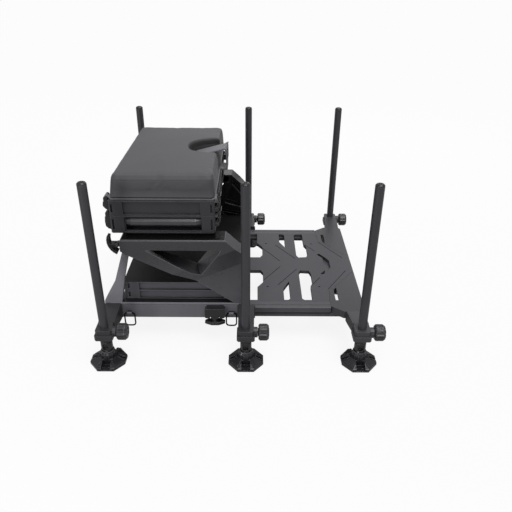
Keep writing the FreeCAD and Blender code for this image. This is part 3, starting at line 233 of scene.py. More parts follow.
def powder_coat(name, colour, grain_mm, roughness, wear_and_glint=1.2, lip=None, inside=None):
    """Powder-coated aluminium: baked paint with a fine orange-peel skin that breaks up its highlights,
    and painted shade in its pockets.

    Its edge gain sets a painted highlight along the edges, lip is a height below which painted shadow,
    as under a flange, darkens the paint, and inside is the colour of painted shade on inward faces and level
    tops.
    """
    material, tree, shader, place = start_material(name)
    peel = add(tree, "ShaderNodeTexNoise", {"Scale": 1000.0 / grain_mm, "Detail": 3.0, "Roughness": 0.5},
               {"Vector": place})
    drift = add(tree, "ShaderNodeTexNoise", {"Scale": 14.0, "Detail": 4.0, "Roughness": 0.6},
                {"Vector": place})
    edge, mask = rounded_edge_and_glint(tree, 0.0014)
    # A painted highlight brightens the colour along the edges.
    tone = brighter(tree, shade_range(tree, drift.outputs[0], colour, 0.84, 1.16), mask, wear_and_glint)
    # Painted shade on inward faces and level tops.
    if inside is not None:
        tone = painted_inward_shade(tree, place, tone, inside)
    # Painted shadow: below the lip height the colour drops to 0.12 of itself.
    if lip is not None:
        spot = add(tree, "ShaderNodeSeparateXYZ", {}, {0: place})
        share = add(tree, "ShaderNodeMapRange",
                    {"From Min": lip - 0.0005, "From Max": lip + 0.0005, "To Min": 0.12, "To Max": 1.0},
                    {"Value": spot.outputs["Z"]})
        tone = add(tree, "ShaderNodeVectorMath", {"operation": "SCALE"},
                   {0: tone, "Scale": share.outputs[0]}).outputs[0]
    tree.links.new(pocket_shade(tree, tone, 0.03, 0.45), shader.inputs["Base Color"])
    rough = add(tree, "ShaderNodeMapRange", {"To Min": roughness - 0.06, "To Max": roughness + 0.08},
                {"Value": drift.outputs[0]})
    tree.links.new(rough.outputs[0], shader.inputs["Roughness"])
    bump = add(tree, "ShaderNodeBump", {"Strength": 0.2, "Distance": 0.0003},
               {"Height": peel.outputs[0], "Normal": edge})
    tree.links.new(bump.outputs[0], shader.inputs["Normal"])
    return material


def moulded(name, colour, roughness, wear_and_glint=0.6, inside=None, edge_mm=1.8, pocket=(0.03, 0.3, 0.25, 0.85),
            fade=None):
    """Moulded nylon or ABS: a fine spark-eroded grain, a painted highlight on its edges and painted shade in
    its pockets.

    pocket holds the last four numbers of pocket_shade, and fade two heights and the shares of the
    colour at them.
    """
    material, tree, shader, place = start_material(name)
    grain = add(tree, "ShaderNodeTexVoronoi", {"Scale": 1000.0 / 0.9, "feature": "SMOOTH_F1"},
                {"Vector": place})
    flow = add(tree, "ShaderNodeTexNoise", {"Scale": 22.0, "Detail": 5.0, "Roughness": 0.65},
               {"Vector": place})
    edge, mask = rounded_edge_and_glint(tree, edge_mm / 1000.0)
    tone = shade_range(tree, flow.outputs[0], colour, 0.8, 1.22)
    if fade is not None:
        spot = add(tree, "ShaderNodeSeparateXYZ", {}, {0: place})
        share = add(tree, "ShaderNodeMapRange",
                    {"From Min": fade[0], "From Max": fade[1], "To Min": fade[2], "To Max": fade[3]},
                    {"Value": spot.outputs["Z"]})
        tone = add(tree, "ShaderNodeVectorMath", {"operation": "SCALE"},
                   {0: tone, "Scale": share.outputs[0]}).outputs[0]
    # Painted shade on inward faces and level tops.
    if inside is not None:
        tone = painted_inward_shade(tree, place, tone, inside)
    # A painted highlight brightens the colour along the edges.
    tone = brighter(tree, tone, mask, wear_and_glint)
    tree.links.new(pocket_shade(tree, tone, *pocket), shader.inputs["Base Color"])
    rough = add(tree, "ShaderNodeMapRange", {"To Min": roughness - 0.08, "To Max": roughness + 0.1},
                {"Value": flow.outputs[0]})
    tree.links.new(rough.outputs[0], shader.inputs["Roughness"])
    bump = add(tree, "ShaderNodeBump", {"Strength": 0.14, "Distance": 0.0003},
               {"Height": grain.outputs[0], "Normal": edge})
    tree.links.new(bump.outputs[0], shader.inputs["Normal"])
    shader.inputs["IOR"].default_value = 1.5
    return material


def painted_inward_shade(tree, place, colour, dark):
    """Painted shade: turns a colour dark on faces that look at the middle plane, and on level tops."""
    true = add(tree, "ShaderNodeSeparateXYZ", {},
               {0: tree.nodes.new("ShaderNodeNewGeometry").outputs["Normal"]})
    spot = add(tree, "ShaderNodeSeparateXYZ", {}, {0: place})
    turn = add(tree, "ShaderNodeMath", {"operation": "MULTIPLY"},
               {0: true.outputs["Y"], 1: spot.outputs["Y"]})
    inward = add(tree, "ShaderNodeMapRange", {"From Min": -0.03, "From Max": -0.1},
                 {"Value": turn.outputs[0]})
    level = add(tree, "ShaderNodeMapRange", {"From Min": 0.86, "From Max": 0.95},
                {"Value": true.outputs["Z"]})
    both = add(tree, "ShaderNodeMath", {"operation": "MAXIMUM"}, {0: inward.outputs[0], 1: level.outputs[0]})
    mix = add(tree, "ShaderNodeMix", {"data_type": "RGBA"})
    mix.inputs["B"].default_value = linear(dark)
    tree.links.new(colour, mix.inputs["A"])
    tree.links.new(both.outputs[0], mix.inputs["Factor"])
    return mix.outputs["Result"]


def coated_cover(name, colour):
    """Polyurethane-coated cover over foam: pebbled grain, matt, a soft sheen, and painted shade on its sides,
    in its scoop and in its pockets.
    """
    material, tree, shader, place = start_material(name)
    pebble = add(tree, "ShaderNodeTexVoronoi", {"Scale": 1000.0 / 1.6, "feature": "DISTANCE_TO_EDGE"},
                 {"Vector": place})
    fine = add(tree, "ShaderNodeTexNoise", {"Scale": 1000.0 / 0.7, "Detail": 2.0}, {"Vector": place})
    cloud = add(tree, "ShaderNodeTexNoise", {"Scale": 9.0, "Detail": 5.0, "Roughness": 0.6},
                {"Vector": place})
    spot = add(tree, "ShaderNodeSeparateXYZ", {}, {0: place})
    # Painted shade: the cover's sides are darker below the top's edge, and a little darker again below the
    # shoulder seam.
    upper = add(tree, "ShaderNodeMapRange",
                {"From Min": SIDE_SHADE_TOP[0], "From Max": SIDE_SHADE_TOP[1], "To Min": 0.68, "To Max": 1.0},
                {"Value": spot.outputs["Z"]})
    lower = add(tree, "ShaderNodeMapRange",
                {"From Min": SHOULDER - 0.004, "From Max": SHOULDER + 0.002, "To Min": 0.92, "To Max": 1.0},
                {"Value": spot.outputs["Z"]})
    side = add(tree, "ShaderNodeMath", {"operation": "MULTIPLY"}, {0: upper.outputs[0], 1: lower.outputs[0]})
    # Painted shade in the scoop: a box in plan, below the top's edge, darkens the cover there.
    away = add(tree, "ShaderNodeMath", {"operation": "COMPARE", 1: SCOOP_Y, 2: SCOOP_HALF_WIDTH},
               {0: spot.outputs["Y"]})
    ahead = add(tree, "ShaderNodeMath", {"operation": "GREATER_THAN", 1: SCOOP_REAR_X},
                {0: spot.outputs["X"]})
    under = add(tree, "ShaderNodeMapRange", {"From Min": 0.5335, "From Max": 0.5265},
                {"Value": spot.outputs["Z"]})
    plan = add(tree, "ShaderNodeMath", {"operation": "MULTIPLY"}, {0: away.outputs[0], 1: ahead.outputs[0]})
    scoop_shade = add(tree, "ShaderNodeMath", {"operation": "MULTIPLY"}, {0: plan.outputs[0], 1: under.outputs[0]})
    dark = add(tree, "ShaderNodeMath", {"operation": "MULTIPLY_ADD", 1: -0.84, 2: 1.0}, {0: scoop_shade.outputs[0]})
    side = add(tree, "ShaderNodeMath", {"operation": "MULTIPLY"}, {0: side.outputs[0], 1: dark.outputs[0]})
    tone = shade_range(tree, cloud.outputs[0], colour, 0.9, 1.1)
    tone = add(tree, "ShaderNodeVectorMath", {"operation": "SCALE"},
               {0: tone, "Scale": side.outputs[0]}).outputs[0]
    tone = pocket_shade(tree, tone, depth=0.06, least=0.14, shut=0.5, clear=0.96)
    tree.links.new(tone, shader.inputs["Base Color"])
    shader.inputs["Roughness"].default_value = 0.58
    shader.inputs["Sheen Weight"].default_value = 0.08
    shader.inputs["Sheen Roughness"].default_value = 0.5
    first = add(tree, "ShaderNodeBump", {"Strength": 0.18, "Distance": 0.0004},
                {"Height": pebble.outputs["Distance"]})
    bump = add(tree, "ShaderNodeBump", {"Strength": 0.1, "Distance": 0.0002},
               {"Height": fine.outputs[0], "Normal": first.outputs[0]})
    tree.links.new(bump.outputs[0], shader.inputs["Normal"])
    return material


def black_steel(name, colour):
    """Blackened steel wire: oxide over drawn steel, satin with brighter rubbed places."""
    material, tree, shader, place = start_material(name)
    wear_and_glint = add(tree, "ShaderNodeTexNoise", {"Scale": 240.0, "Detail": 4.0}, {"Vector": place})
    tree.links.new(shade_range(tree, wear_and_glint.outputs[0], colour, 0.6, 1.4), shader.inputs["Base Color"])
    shader.inputs["Metallic"].default_value = 1.0
    rough = add(tree, "ShaderNodeMapRange", {"To Min": 0.28, "To Max": 0.5}, {"Value": wear_and_glint.outputs[0]})
    tree.links.new(rough.outputs[0], shader.inputs["Roughness"])
    return material


def dress(node, material):
    """Gives a CAD node a material."""
    data = nodes[node].data
    data.materials.clear()
    data.materials.append(material)


# Modelling helpers

def deselect():
    """Clears the selection."""
    bpy.ops.object.select_all(action="DESELECT")


def only(piece):
    """Makes one object the selected and active one."""
    deselect()
    piece.hide_set(False)
    piece.select_set(True)
    bpy.context.view_layer.objects.active = piece


def finish_piece(piece, body, material):
    """Gives a finished piece its material, slot and body."""
    piece.data.materials.clear()
    piece.data.materials.append(material)
    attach(piece, body)


def swell(piece, voxel, pressure, limit):
    """Fills a pad with its foam: remesh, a short pressure simulation, and a cap on the movement."""
    only(piece)
    piece.data.remesh_voxel_size = voxel
    bpy.ops.object.voxel_remesh()
    rest = np.array([v.co for v in piece.data.vertices], float)
    cloth = piece.modifiers.new("Foam", "CLOTH")
    cloth.settings.use_pressure = True
    cloth.settings.uniform_pressure_force = pressure
    cloth.settings.effector_weights.gravity = 0.0
    cloth.settings.quality = 5
    cloth.point_cache.frame_start = 1
    cloth.point_cache.frame_end = FOAM_STEPS
    for step in range(1, FOAM_STEPS + 1):
        bpy.context.scene.frame_set(step)
    shown = piece.evaluated_get(bpy.context.evaluated_depsgraph_get())
    step = np.array([v.co for v in shown.data.vertices], float) - rest
    piece.modifiers.remove(cloth)
    bpy.context.scene.frame_set(1)
    size = np.linalg.norm(step, axis=1)
    set_points(piece, rest + step * np.minimum(1.0, limit / np.maximum(size, 1e-9))[:, None])


def set_points(piece, points):
    """Writes an array of points into a piece's mesh."""
    piece.data.vertices.foreach_set("co", points.astype(np.float32).ravel())
    piece.data.update()


class SEATBOX_OT_cushion(bpy.types.Operator):
    """Foam pad under a coated cover, with the scoop for the lid's tongue and a skirt over the lid's edge"""
    bl_idname = "seatbox.cushion"
    bl_label = "Cushion"

    def execute(self, context):
        sizes = context.scene.seatbox_sizes
        low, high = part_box("seat_cushion")
        pad = bpy.data.objects.new("seat_pad", nodes["seat_cushion"].data.copy())
        context.scene.collection.objects.link(pad)
        only(pad)
        bpy.ops.object.mode_set(mode="EDIT")
        bpy.ops.mesh.select_all(action="SELECT")
        bpy.ops.mesh.remove_doubles(threshold=MERGE)
        bpy.ops.mesh.normals_make_consistent(inside=False)
        bpy.ops.transform.shrink_fatten(value=-0.4 * sizes.pad_swell)
        bpy.ops.object.mode_set(mode="OBJECT")
        points = np.array([v.co for v in pad.data.vertices], float)
        above = np.maximum(points[:, 2] - (SHOULDER - 0.002), 0.0)
        points[:, 2] += above * (sizes.pad_rise / (high.z - SHOULDER))
        near_side = np.clip((np.abs(points[:, 1]) - 0.15) / 0.08, 0.0, 1.0)
        share = np.clip(above / (high.z - SHOULDER), 0.0, 1.0) * near_side
        points[:, 1] -= np.sign(points[:, 1]) * share * sizes.pad_shoulder
        set_points(pad, points)
        swell(pad, sizes.pad_voxel, sizes.pad_pressure, sizes.pad_swell)
        only(pad)
        fine = pad.modifiers.new("Fine", "SUBSURF")
        fine.levels = 1
        fine.render_levels = 1
        bpy.ops.object.modifier_apply(modifier=fine.name)
        points = np.array([v.co for v in pad.data.vertices], float)
        normals = np.array([v.normal for v in pad.data.vertices], float)
        # The sewn seam round the shoulder draws the cover in.
        groove = np.exp(-((points[:, 2] - SHOULDER) / SEAM_WIDTH) ** 2) * (np.abs(normals[:, 2]) < 0.8)
        points -= normals * (SEAM_DEPTH * groove)[:, None]
        # The sides flare out to the trays' faces and the skirt covers the lid board's edge.
        share = np.clip((low.z + SKIRT_HEIGHT - points[:, 2]) / SKIRT_HEIGHT, 0.0, 1.0) ** 1.5
        beyond = np.clip((np.abs(points[:, 1]) - (high.y - 0.012)) / 0.006, 0.0, 1.0)
        points[:, 1] += np.sign(points[:, 1]) * share * beyond * sizes.pad_flare
        points[:, 2] = np.maximum(points[:, 2], low.z + 0.0002)
        outside = np.clip((np.abs(points[:, 1]) - (high.y + 0.0012)) / 0.002, 0.0, 1.0)
        lip = outside * np.clip((low.z + 0.006 - points[:, 2]) / 0.004, 0.0, 1.0)
        points[:, 2] -= lip * sizes.pad_lip
        set_points(pad, points)
        bpy.ops.object.shade_smooth()
        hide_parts("seat_cushion")
        finish_piece(pad, "lid", coated_cover("coated_seat_cover", context.scene.seatbox_colours.cover))
        return {"FINISHED"}


class SEATBOX_OT_frame_finish(bpy.types.Operator):
    """Powder coats of the legs, rails, castings and struts"""
    bl_idname = "seatbox.frame_finish"
    bl_label = "Frame finishes"

    def execute(self, context):
        colours = context.scene.seatbox_colours
        tube = powder_coat("powder_coated_leg_tube", colours.tube, 1.2, 0.33, wear_and_glint=0.8)
        # The side rails get painted shade on their inward faces and level tops.
        rail = powder_coat("powder_coated_extrusion", colours.rail, 1.0, 0.46, inside="#1c1c1f")
        edge = powder_coat("powder_coated_cross_rail", colours.edge, 1.0, 0.44)
        # The edge rails get painted shadow below their flange.
        shadow_painted_edge_rail = powder_coat("powder_coated_edge_rail", colours.edge, 1.0, 0.44, lip=RAIL_SHADE_TOP)
        casting = powder_coat("powder_coated_casting", colours.casting, 1.8, 0.34, wear_and_glint=2.0)
        corner = powder_coat("powder_coated_corner", colours.corner, 1.8, 0.4, wear_and_glint=1.0)
        strut = powder_coat("powder_coated_strut", colours.strut, 1.8, 0.4, wear_and_glint=0.3)
        for row in ROWS:
            for side in SIDES:
                dress("leg_%s_%s" % (row, side), tube)
        for side in SIDES:
            dress("side_rail_" + side, rail)
        dress("rear_struts", strut)
        dress("footplate_edge_rails", shadow_painted_edge_rail)
        for node in ("cross_rails", "footplate_subframe"):
            dress(node, edge)
        dress("base_leg_clamps", casting)
        dress("footplate_leg_clamps", corner)
        return {"FINISHED"}


class SEATBOX_OT_moulding_finish(bpy.types.Operator):
    """Moulded plastics of the brackets, cases, deck, feet and knobs"""
    bl_idname = "seatbox.moulding_finish"
    bl_label = "Moulding finishes"

    def execute(self, context):
        colours = context.scene.seatbox_colours
        # The brackets' colour is lighter at their lower webs than at their top rails; painted shade darkens
        # their inward faces and level tops, and a painted highlight brightens their edges.
        bracket = moulded("moulded_bracket_nylon", colours.bracket, 0.28, wear_and_glint=2.4, inside="#0b0b0c",
                          edge_mm=3.4, pocket=(0.05, 0.3, 0.25, 0.85), fade=(0.17, 0.31, 1.45, 0.74))
        case = moulded("moulded_tray_abs", colours.case, 0.34, wear_and_glint=1.6)
        drawer = moulded("moulded_drawer_abs", colours.drawer, 0.42, wear_and_glint=0.4)
        # The drawer case gets painted shade on its inward faces and level tops.
        shell = moulded("moulded_drawer_case_abs", colours.shell, 0.45, inside="#101012")
        lid = moulded("moulded_lid_abs", colours.lid, 0.42, wear_and_glint=0.3)
        # Painted shade darkens the insides of the deck's grooves.
        deck = moulded("moulded_deck_polypropylene", colours.deck, 0.5, wear_and_glint=0.0, edge_mm=1.0,
                       pocket=(0.012, 0.04, 0.45, 0.9))
        foot = moulded("moulded_foot_nylon", colours.foot, 0.18, wear_and_glint=3.0, edge_mm=2.4)
        knob = moulded("moulded_knob_nylon", colours.knob, 0.17, wear_and_glint=2.6, edge_mm=2.2)
        # The turning knobs get a stronger painted highlight on their edges than the fixed mouldings.
        grip = moulded("moulded_turning_knob_nylon", colours.knob, 0.14, wear_and_glint=5.5, edge_mm=5.0)
        handle = moulded("moulded_handle_nylon", colours.handle, 0.2, wear_and_glint=2.0, edge_mm=3.0)
        wire = black_steel("blackened_steel_wire", colours.wire)
        for row in ROWS:
            for side in SIDES:
                dress("leg_ends_%s_%s" % (row, side), knob)
                dress("mud_foot_%s_%s" % (row, side), foot)
                dress("clamp_knob_%s_%s" % (row, side), grip)
        for side in SIDES:
            dress("seat_bracket_" + side, bracket)
            dress("runner_lock_knob_" + side, knob)
            dress("strap_ring_rear_" + side, wire)
            dress("strap_ring_mid_" + side, wire)
        for node in ("deep_tray", "shallow_tray"):
            dress(node, case)
        for node in ("drawer_lower", "drawer_upper"):
            dress(node, drawer)
        dress("drawer_case", shell)
        dress("seat_lid", lid)
        dress("carry_handles", handle)
        for node in ("seat_latches", "deep_tray_fittings", "tray_catches", "shallow_tray_fittings",
                     "lid_catches", "runner_lock_blocks"):
            dress(node, knob)
        dress("footplate_deck", deck)
        return {"FINISHED"}


def pick_faces(piece, test):
    """Selects the faces whose centre and normal pass a test, in edit mode's face mode."""
    bpy.ops.object.mode_set(mode="OBJECT")
    for face in piece.data.polygons:
        face.select = test(face.center, face.normal)
    bpy.ops.object.mode_set(mode="EDIT")


def settle(piece, at, turn=None):
    """Leaves edit mode and puts a new piece's place into its mesh."""
    bpy.ops.object.mode_set(mode="OBJECT")
    piece.data.transform(Matrix.Translation(at) @ (turn or Matrix.Identity(4)))
    piece.data.update()


def twin(piece, name, shift):
    """A copy with its own mesh, moved by shift."""
    copy = bpy.data.objects.new(name, piece.data.copy())
    bpy.context.scene.collection.objects.link(copy)
    copy.data.transform(Matrix.Translation(shift))
    return copy


def round_start(name, sides, radius, depth):
    """A short round prism as a start for a turned piece, in edit mode with its face select on."""
    deselect()
    bpy.ops.mesh.primitive_cylinder_add(vertices=sides, radius=radius, depth=depth, end_fill_type="NGON")
    piece = bpy.context.active_object
    piece.name = name
    piece.data.name = name
    bpy.ops.object.mode_set(mode="EDIT")
    bpy.ops.mesh.select_mode(type="FACE")
    return piece


class SEATBOX_OT_foot_rings(bpy.types.Operator):
    """Toothed lock ring on the cup of each mud foot"""
    bl_idname = "seatbox.foot_rings"
    bl_label = "Foot rings"

    def execute(self, context):
        nylon = moulded("moulded_ring_nylon", context.scene.seatbox_colours.drawer, 0.28, wear_and_glint=1.0)
        ring = round_start("foot_ring_rear_right", 48, 0.0196, 0.0012)
        bpy.ops.mesh.select_all(action="DESELECT")
        pick_faces(ring, lambda at, normal: normal.z > 0.9)
        bpy.ops.mesh.inset(thickness=RING_WIDTH)
        bpy.ops.mesh.extrude_region_move(TRANSFORM_OT_translate={"value": (0.0, 0.0, -0.0007)})
        bpy.ops.mesh.delete(type="FACE")
        pick_faces(ring, lambda at, normal: normal.z < -0.9)
        bpy.ops.mesh.inset(thickness=RING_WIDTH)
        bpy.ops.mesh.delete(type="FACE")
        bpy.ops.mesh.select_mode(type="EDGE")
        bpy.ops.mesh.select_all(action="DESELECT")
        bpy.ops.mesh.select_non_manifold()
        bpy.ops.mesh.bridge_edge_loops()
        bpy.ops.mesh.select_mode(type="FACE")
        tooth = 2.0 * pi / RING_TEETH
        pick_faces(ring, lambda at, normal: normal.z > 0.9 and at.length > 0.0165
                   and (atan2(at.y, at.x) % tooth) < tooth / 2.0)
        bpy.ops.mesh.inset(thickness=0.0003, depth=0.0008, use_individual=True)
        bpy.ops.mesh.select_all(action="SELECT")
        bpy.ops.mesh.normals_make_consistent(inside=False)
        first = middle("mud_foot_rear_right")
        settle(ring, (first.x, first.y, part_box("mud_foot_rear_right")[1].z + 0.0004))
        for row in ROWS:
            for side in SIDES:
                spot = middle("mud_foot_%s_%s" % (row, side))
                piece = ring
                if (row, side) != ("rear", "right"):
                    piece = twin(ring, "foot_ring_%s_%s" % (row, side), spot - first)
                finish_piece(piece, "mud_foot_%s_%s" % (row, side), nylon)
        return {"FINISHED"}


class SEATBOX_OT_foot_pads(bpy.types.Operator):
    """Raised grip pads on the sloping panels of each mud foot"""
    bl_idname = "seatbox.foot_pads"
    bl_label = "Foot pads"

    def execute(self, context):
        nylon = moulded("moulded_pad_nylon", context.scene.seatbox_colours.foot, 0.16, wear_and_glint=3.4, edge_mm=2.0)
        first = middle("mud_foot_rear_right")
        pads = bpy.data.objects.new("foot_pads_rear_right", nodes["mud_foot_rear_right"].data.copy())
        context.scene.collection.objects.link(pads)
        only(pads)
        bpy.ops.object.mode_set(mode="EDIT")
        bpy.ops.mesh.select_mode(type="FACE")
        bpy.ops.mesh.select_all(action="SELECT")
        bpy.ops.mesh.remove_doubles(threshold=MERGE)
        bpy.ops.mesh.dissolve_limited(angle_limit=radians(9.0))
        pick_faces(pads, lambda at, normal: 0.3 < normal.z < 0.97 and 0.0115 < at.z < 0.0225
                   and Vector((at.x - first.x, at.y - first.y)).length > 0.026)
        bpy.ops.mesh.select_all(action="INVERT")
        bpy.ops.mesh.delete(type="FACE")
        bpy.ops.mesh.select_all(action="SELECT")
        bpy.ops.mesh.inset(thickness=0.0026, use_individual=True, use_outset=False)
        bpy.ops.mesh.select_all(action="INVERT")
        bpy.ops.mesh.delete(type="FACE")
        bpy.ops.object.mode_set(mode="OBJECT")
        slab = pads.modifiers.new("Slab", "SOLIDIFY")
        slab.thickness = 0.0018
        slab.offset = 0.9
        bpy.ops.object.modifier_apply(modifier=slab.name)
        round_edge = pads.modifiers.new("Edge", "BEVEL")
        round_edge.width = 0.0005
        round_edge.segments = 2
        bpy.ops.object.modifier_apply(modifier=round_edge.name)
        if not pads.data.polygons:
            raise RuntimeError("the mud foot has no sloping panels")
        for row in ROWS:
            for side in SIDES:
                spot = middle("mud_foot_%s_%s" % (row, side))
                piece = pads
                if (row, side) != ("rear", "right"):
                    piece = twin(pads, "foot_pads_%s_%s" % (row, side), spot - first)
                finish_piece(piece, "mud_foot_%s_%s" % (row, side), nylon)
        return {"FINISHED"}


class SEATBOX_OT_knob_caps(bpy.types.Operator):
    """Dished cap in the end of each clamp knob"""
    bl_idname = "seatbox.knob_caps"
    bl_label = "Knob caps"

    def execute(self, context):
        nylon = moulded("moulded_cap_nylon", context.scene.seatbox_colours.knob, 0.2, wear_and_glint=1.2)
        cap = round_start("knob_cap_rear_right", 40, 0.0125, 0.0016)
        pick_faces(cap, lambda at, normal: normal.z > 0.9)
        bpy.ops.mesh.inset(thickness=0.0004, depth=0.0005)
        bpy.ops.mesh.inset(thickness=0.0026)
        bpy.ops.mesh.inset(thickness=0.0012, depth=-0.0009)
        bpy.ops.mesh.inset(thickness=0.0042, depth=-0.0003)
        low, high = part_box("clamp_knob_rear_right")
        first = Vector((high.x, (low.y + high.y) / 2.0, (low.z + high.z) / 2.0))
        settle(cap, first + Vector((-0.0002, 0.0, 0.0)), Matrix.Rotation(radians(90.0), 4, "Y"))
        bpy.ops.object.shade_smooth_by_angle(angle=radians(30.0))
        for row in ROWS:
            for side in SIDES:
                low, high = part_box("clamp_knob_%s_%s" % (row, side))
                spot = Vector((high.x, (low.y + high.y) / 2.0, (low.z + high.z) / 2.0))
                piece = cap
                if (row, side) != ("rear", "right"):
                    piece = twin(cap, "knob_cap_%s_%s" % (row, side), spot - first)
                finish_piece(piece, "clamp_knob_%s_%s" % (row, side), nylon)
        return {"FINISHED"}


class SEATBOX_OT_tongue_grip(bpy.types.Operator):
    """Ribbed grip on the front of the lid's lifting tongue"""
    bl_idname = "seatbox.tongue_grip"
    bl_label = "Tongue grip"

    def execute(self, context):
        nylon = moulded("moulded_grip_nylon", context.scene.seatbox_colours.knob, 0.3, wear_and_glint=1.4)
        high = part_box("seat_lid")[1]
        deselect()
        bpy.ops.mesh.primitive_grid_add(x_subdivisions=1, y_subdivisions=15, size=1.0)
        grip = context.active_object
        grip.name = "tongue_grip"
        bpy.ops.object.mode_set(mode="EDIT")
        bpy.ops.mesh.select_mode(type="FACE")
        bpy.ops.mesh.select_all(action="SELECT")
        bpy.ops.transform.resize(value=(0.046, 0.030, 1.0))
        bpy.ops.mesh.extrude_region_move(TRANSFORM_OT_translate={"value": (0.0, 0.0, 0.0009)})
        # Every second strip of the grid rises as a rib.
        pick_faces(grip, lambda at, normal: normal.z > 0.9 and at.z > 0.0005
                   and int((at.y + 0.015) / 0.002) % 2 == 0)
        bpy.ops.mesh.inset(thickness=0.0003, depth=0.0009, use_individual=True)
        bpy.ops.mesh.select_all(action="SELECT")
        bpy.ops.mesh.normals_make_consistent(inside=False)
        settle(grip, (high.x - 0.0002, 0.019, high.z - 0.018),
               Matrix(((0, 0, 1, 0), (1, 0, 0, 0), (0, 1, 0, 0), (0, 0, 0, 1))))
        finish_piece(grip, "lid", nylon)
        return {"FINISHED"}


def seen_share(tree):
    """Share of a stage surface that shows plain white: all to camera and glass rays, a little in gloss."""
    path = tree.nodes.new("ShaderNodeLightPath")
    gloss = add(tree, "ShaderNodeMath", {"operation": "MULTIPLY", 1: 0.12},
                {0: path.outputs["Is Glossy Ray"]})
    clear = add(tree, "ShaderNodeMath", {"operation": "MAXIMUM"},
                {0: path.outputs["Is Transmission Ray"], 1: gloss.outputs[0]})
    return add(tree, "ShaderNodeMath", {"operation": "MAXIMUM"},
               {0: path.outputs["Is Camera Ray"], 1: clear.outputs[0]}).outputs[0]


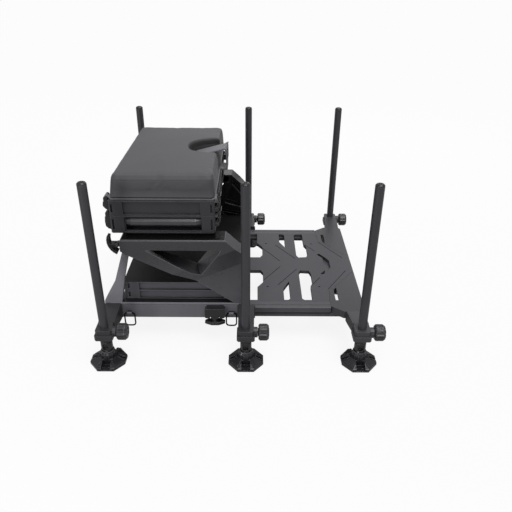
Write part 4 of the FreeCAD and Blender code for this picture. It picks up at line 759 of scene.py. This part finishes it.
class SEATBOX_OT_stage(bpy.types.Operator):
    """Floor, light and the photograph's camera"""
    bl_idname = "seatbox.stage"
    bl_label = "Stage"

    def execute(self, context):
        scene = context.scene
        deselect()
        bpy.ops.mesh.primitive_plane_add(size=60.0, location=(0.0, 0.0, 0.0))
        floor = context.active_object
        floor.name = "studio_floor"
        material = bpy.data.materials.new("matt_white_floor")
        material.use_nodes = True
        tree = material.node_tree
        tree.nodes.clear()
        output = tree.nodes.new("ShaderNodeOutputMaterial")
        matt = add(tree, "ShaderNodeBsdfDiffuse", {"Color": linear("#f4f4f4")})
        glow = add(tree, "ShaderNodeEmission", {"Color": (1.0, 1.0, 1.0, 1.0), "Strength": 1.0})
        shown = add(tree, "ShaderNodeMixShader", {0: 0.88}, {1: matt.outputs[0], 2: glow.outputs[0]})
        dull = add(tree, "ShaderNodeBsdfDiffuse", {"Color": linear("#a8a8a8")})
        mix = add(tree, "ShaderNodeMixShader", {},
                  {0: seen_share(tree), 1: dull.outputs[0], 2: shown.outputs[0]})
        tree.links.new(mix.outputs[0], output.inputs[0])
        floor.data.materials.append(material)

        world = bpy.data.worlds.new("studio_world")
        scene.world = world
        world.use_nodes = True
        tree = world.node_tree
        tree.nodes.clear()
        output = tree.nodes.new("ShaderNodeOutputWorld")
        soft = add(tree, "ShaderNodeBackground", {"Color": (1.0, 1.0, 1.0, 1.0), "Strength": 0.34})
        white = add(tree, "ShaderNodeBackground", {"Color": (1.0, 1.0, 1.0, 1.0), "Strength": 1.0})
        mix = add(tree, "ShaderNodeMixShader", {},
                  {0: seen_share(tree), 1: soft.outputs[0], 2: white.outputs[0]})
        tree.links.new(mix.outputs[0], output.inputs[0])

        bpy.ops.object.light_add(type="SUN", location=(0.5, -1.0, 3.0))
        sun = context.active_object
        sun.name = "overhead_softbox"
        sun.data.energy = 1.7
        sun.data.angle = radians(42.0)
        sun.rotation_euler = (radians(14.0), radians(12.0), 0.0)
        for name, spot, width, height, power in (("front_strip", (-1.3, -2.3, 0.9), 0.4, 1.6, 10.0),
                                                 ("rear_strip", (0.5, 2.4, 1.4), 2.2, 0.5, 5.0)):
            bpy.ops.object.light_add(type="AREA", location=spot)
            strip = context.active_object
            strip.name = name
            strip.data.shape = "RECTANGLE"
            strip.data.size = width
            strip.data.size_y = height
            strip.data.energy = power
            aim = Vector(LIGHTS_AIM) - Vector(spot)
            strip.rotation_euler = aim.to_track_quat("-Z", "Y").to_euler()
            strip.visible_camera = False

        bpy.ops.object.camera_add()
        camera = context.active_object
        camera.name = "photo_camera"
        yaw, pitch, roll = [radians(angle) for angle in CAMERA_TURN]
        forward = Vector((-sin(yaw) * cos(pitch), cos(yaw) * cos(pitch), -sin(pitch)))
        level = Vector((cos(yaw), sin(yaw), 0.0))
        down = forward.cross(level)
        right = cos(roll) * level + sin(roll) * down
        up = sin(roll) * level - cos(roll) * down
        turn = Matrix((right, up, -forward)).transposed()
        camera.matrix_world = Matrix.Translation(CAMERA_AT) @ turn.to_4x4()
        camera.data.sensor_width = SENSOR_MM
        camera.data.lens = FOCAL_PX / PHOTO_PX * SENSOR_MM
        camera.data.clip_end = 100.0
        scene.camera = camera
        scene.view_settings.view_transform = "Standard"
        return {"FINISHED"}


class SEATBOX_PT_panel(bpy.types.Panel):
    """Lists the pieces"""
    bl_idname = "SEATBOX_PT_panel"
    bl_label = "Seat box"
    bl_space_type = "VIEW_3D"
    bl_region_type = "UI"
    bl_category = "Seat Box"

    def draw(self, context):
        for operator in OPERATORS:
            self.layout.operator(operator.bl_idname)


OPERATORS = (SEATBOX_OT_stage, SEATBOX_OT_frame_finish, SEATBOX_OT_moulding_finish, SEATBOX_OT_cushion,
             SEATBOX_OT_foot_rings, SEATBOX_OT_foot_pads, SEATBOX_OT_knob_caps, SEATBOX_OT_tongue_grip)
CLASSES = (SeatBoxSizes, SeatBoxColours, *OPERATORS, SEATBOX_PT_panel)


def register():
    for cls in CLASSES:
        bpy.utils.register_class(cls)
    bpy.types.Scene.seatbox_sizes = bpy.props.PointerProperty(type=SeatBoxSizes)
    bpy.types.Scene.seatbox_colours = bpy.props.PointerProperty(type=SeatBoxColours)


def unregister():
    del bpy.types.Scene.seatbox_sizes
    del bpy.types.Scene.seatbox_colours
    for cls in reversed(CLASSES):
        bpy.utils.unregister_class(cls)


def main():
    register()
    bpy.ops.seatbox.stage()
    bpy.ops.seatbox.frame_finish()
    bpy.ops.seatbox.moulding_finish()
    bpy.ops.seatbox.cushion()
    bpy.ops.seatbox.foot_rings()
    bpy.ops.seatbox.foot_pads()
    bpy.ops.seatbox.knob_caps()
    bpy.ops.seatbox.tongue_grip()


if __name__ == "__main__":
    main()
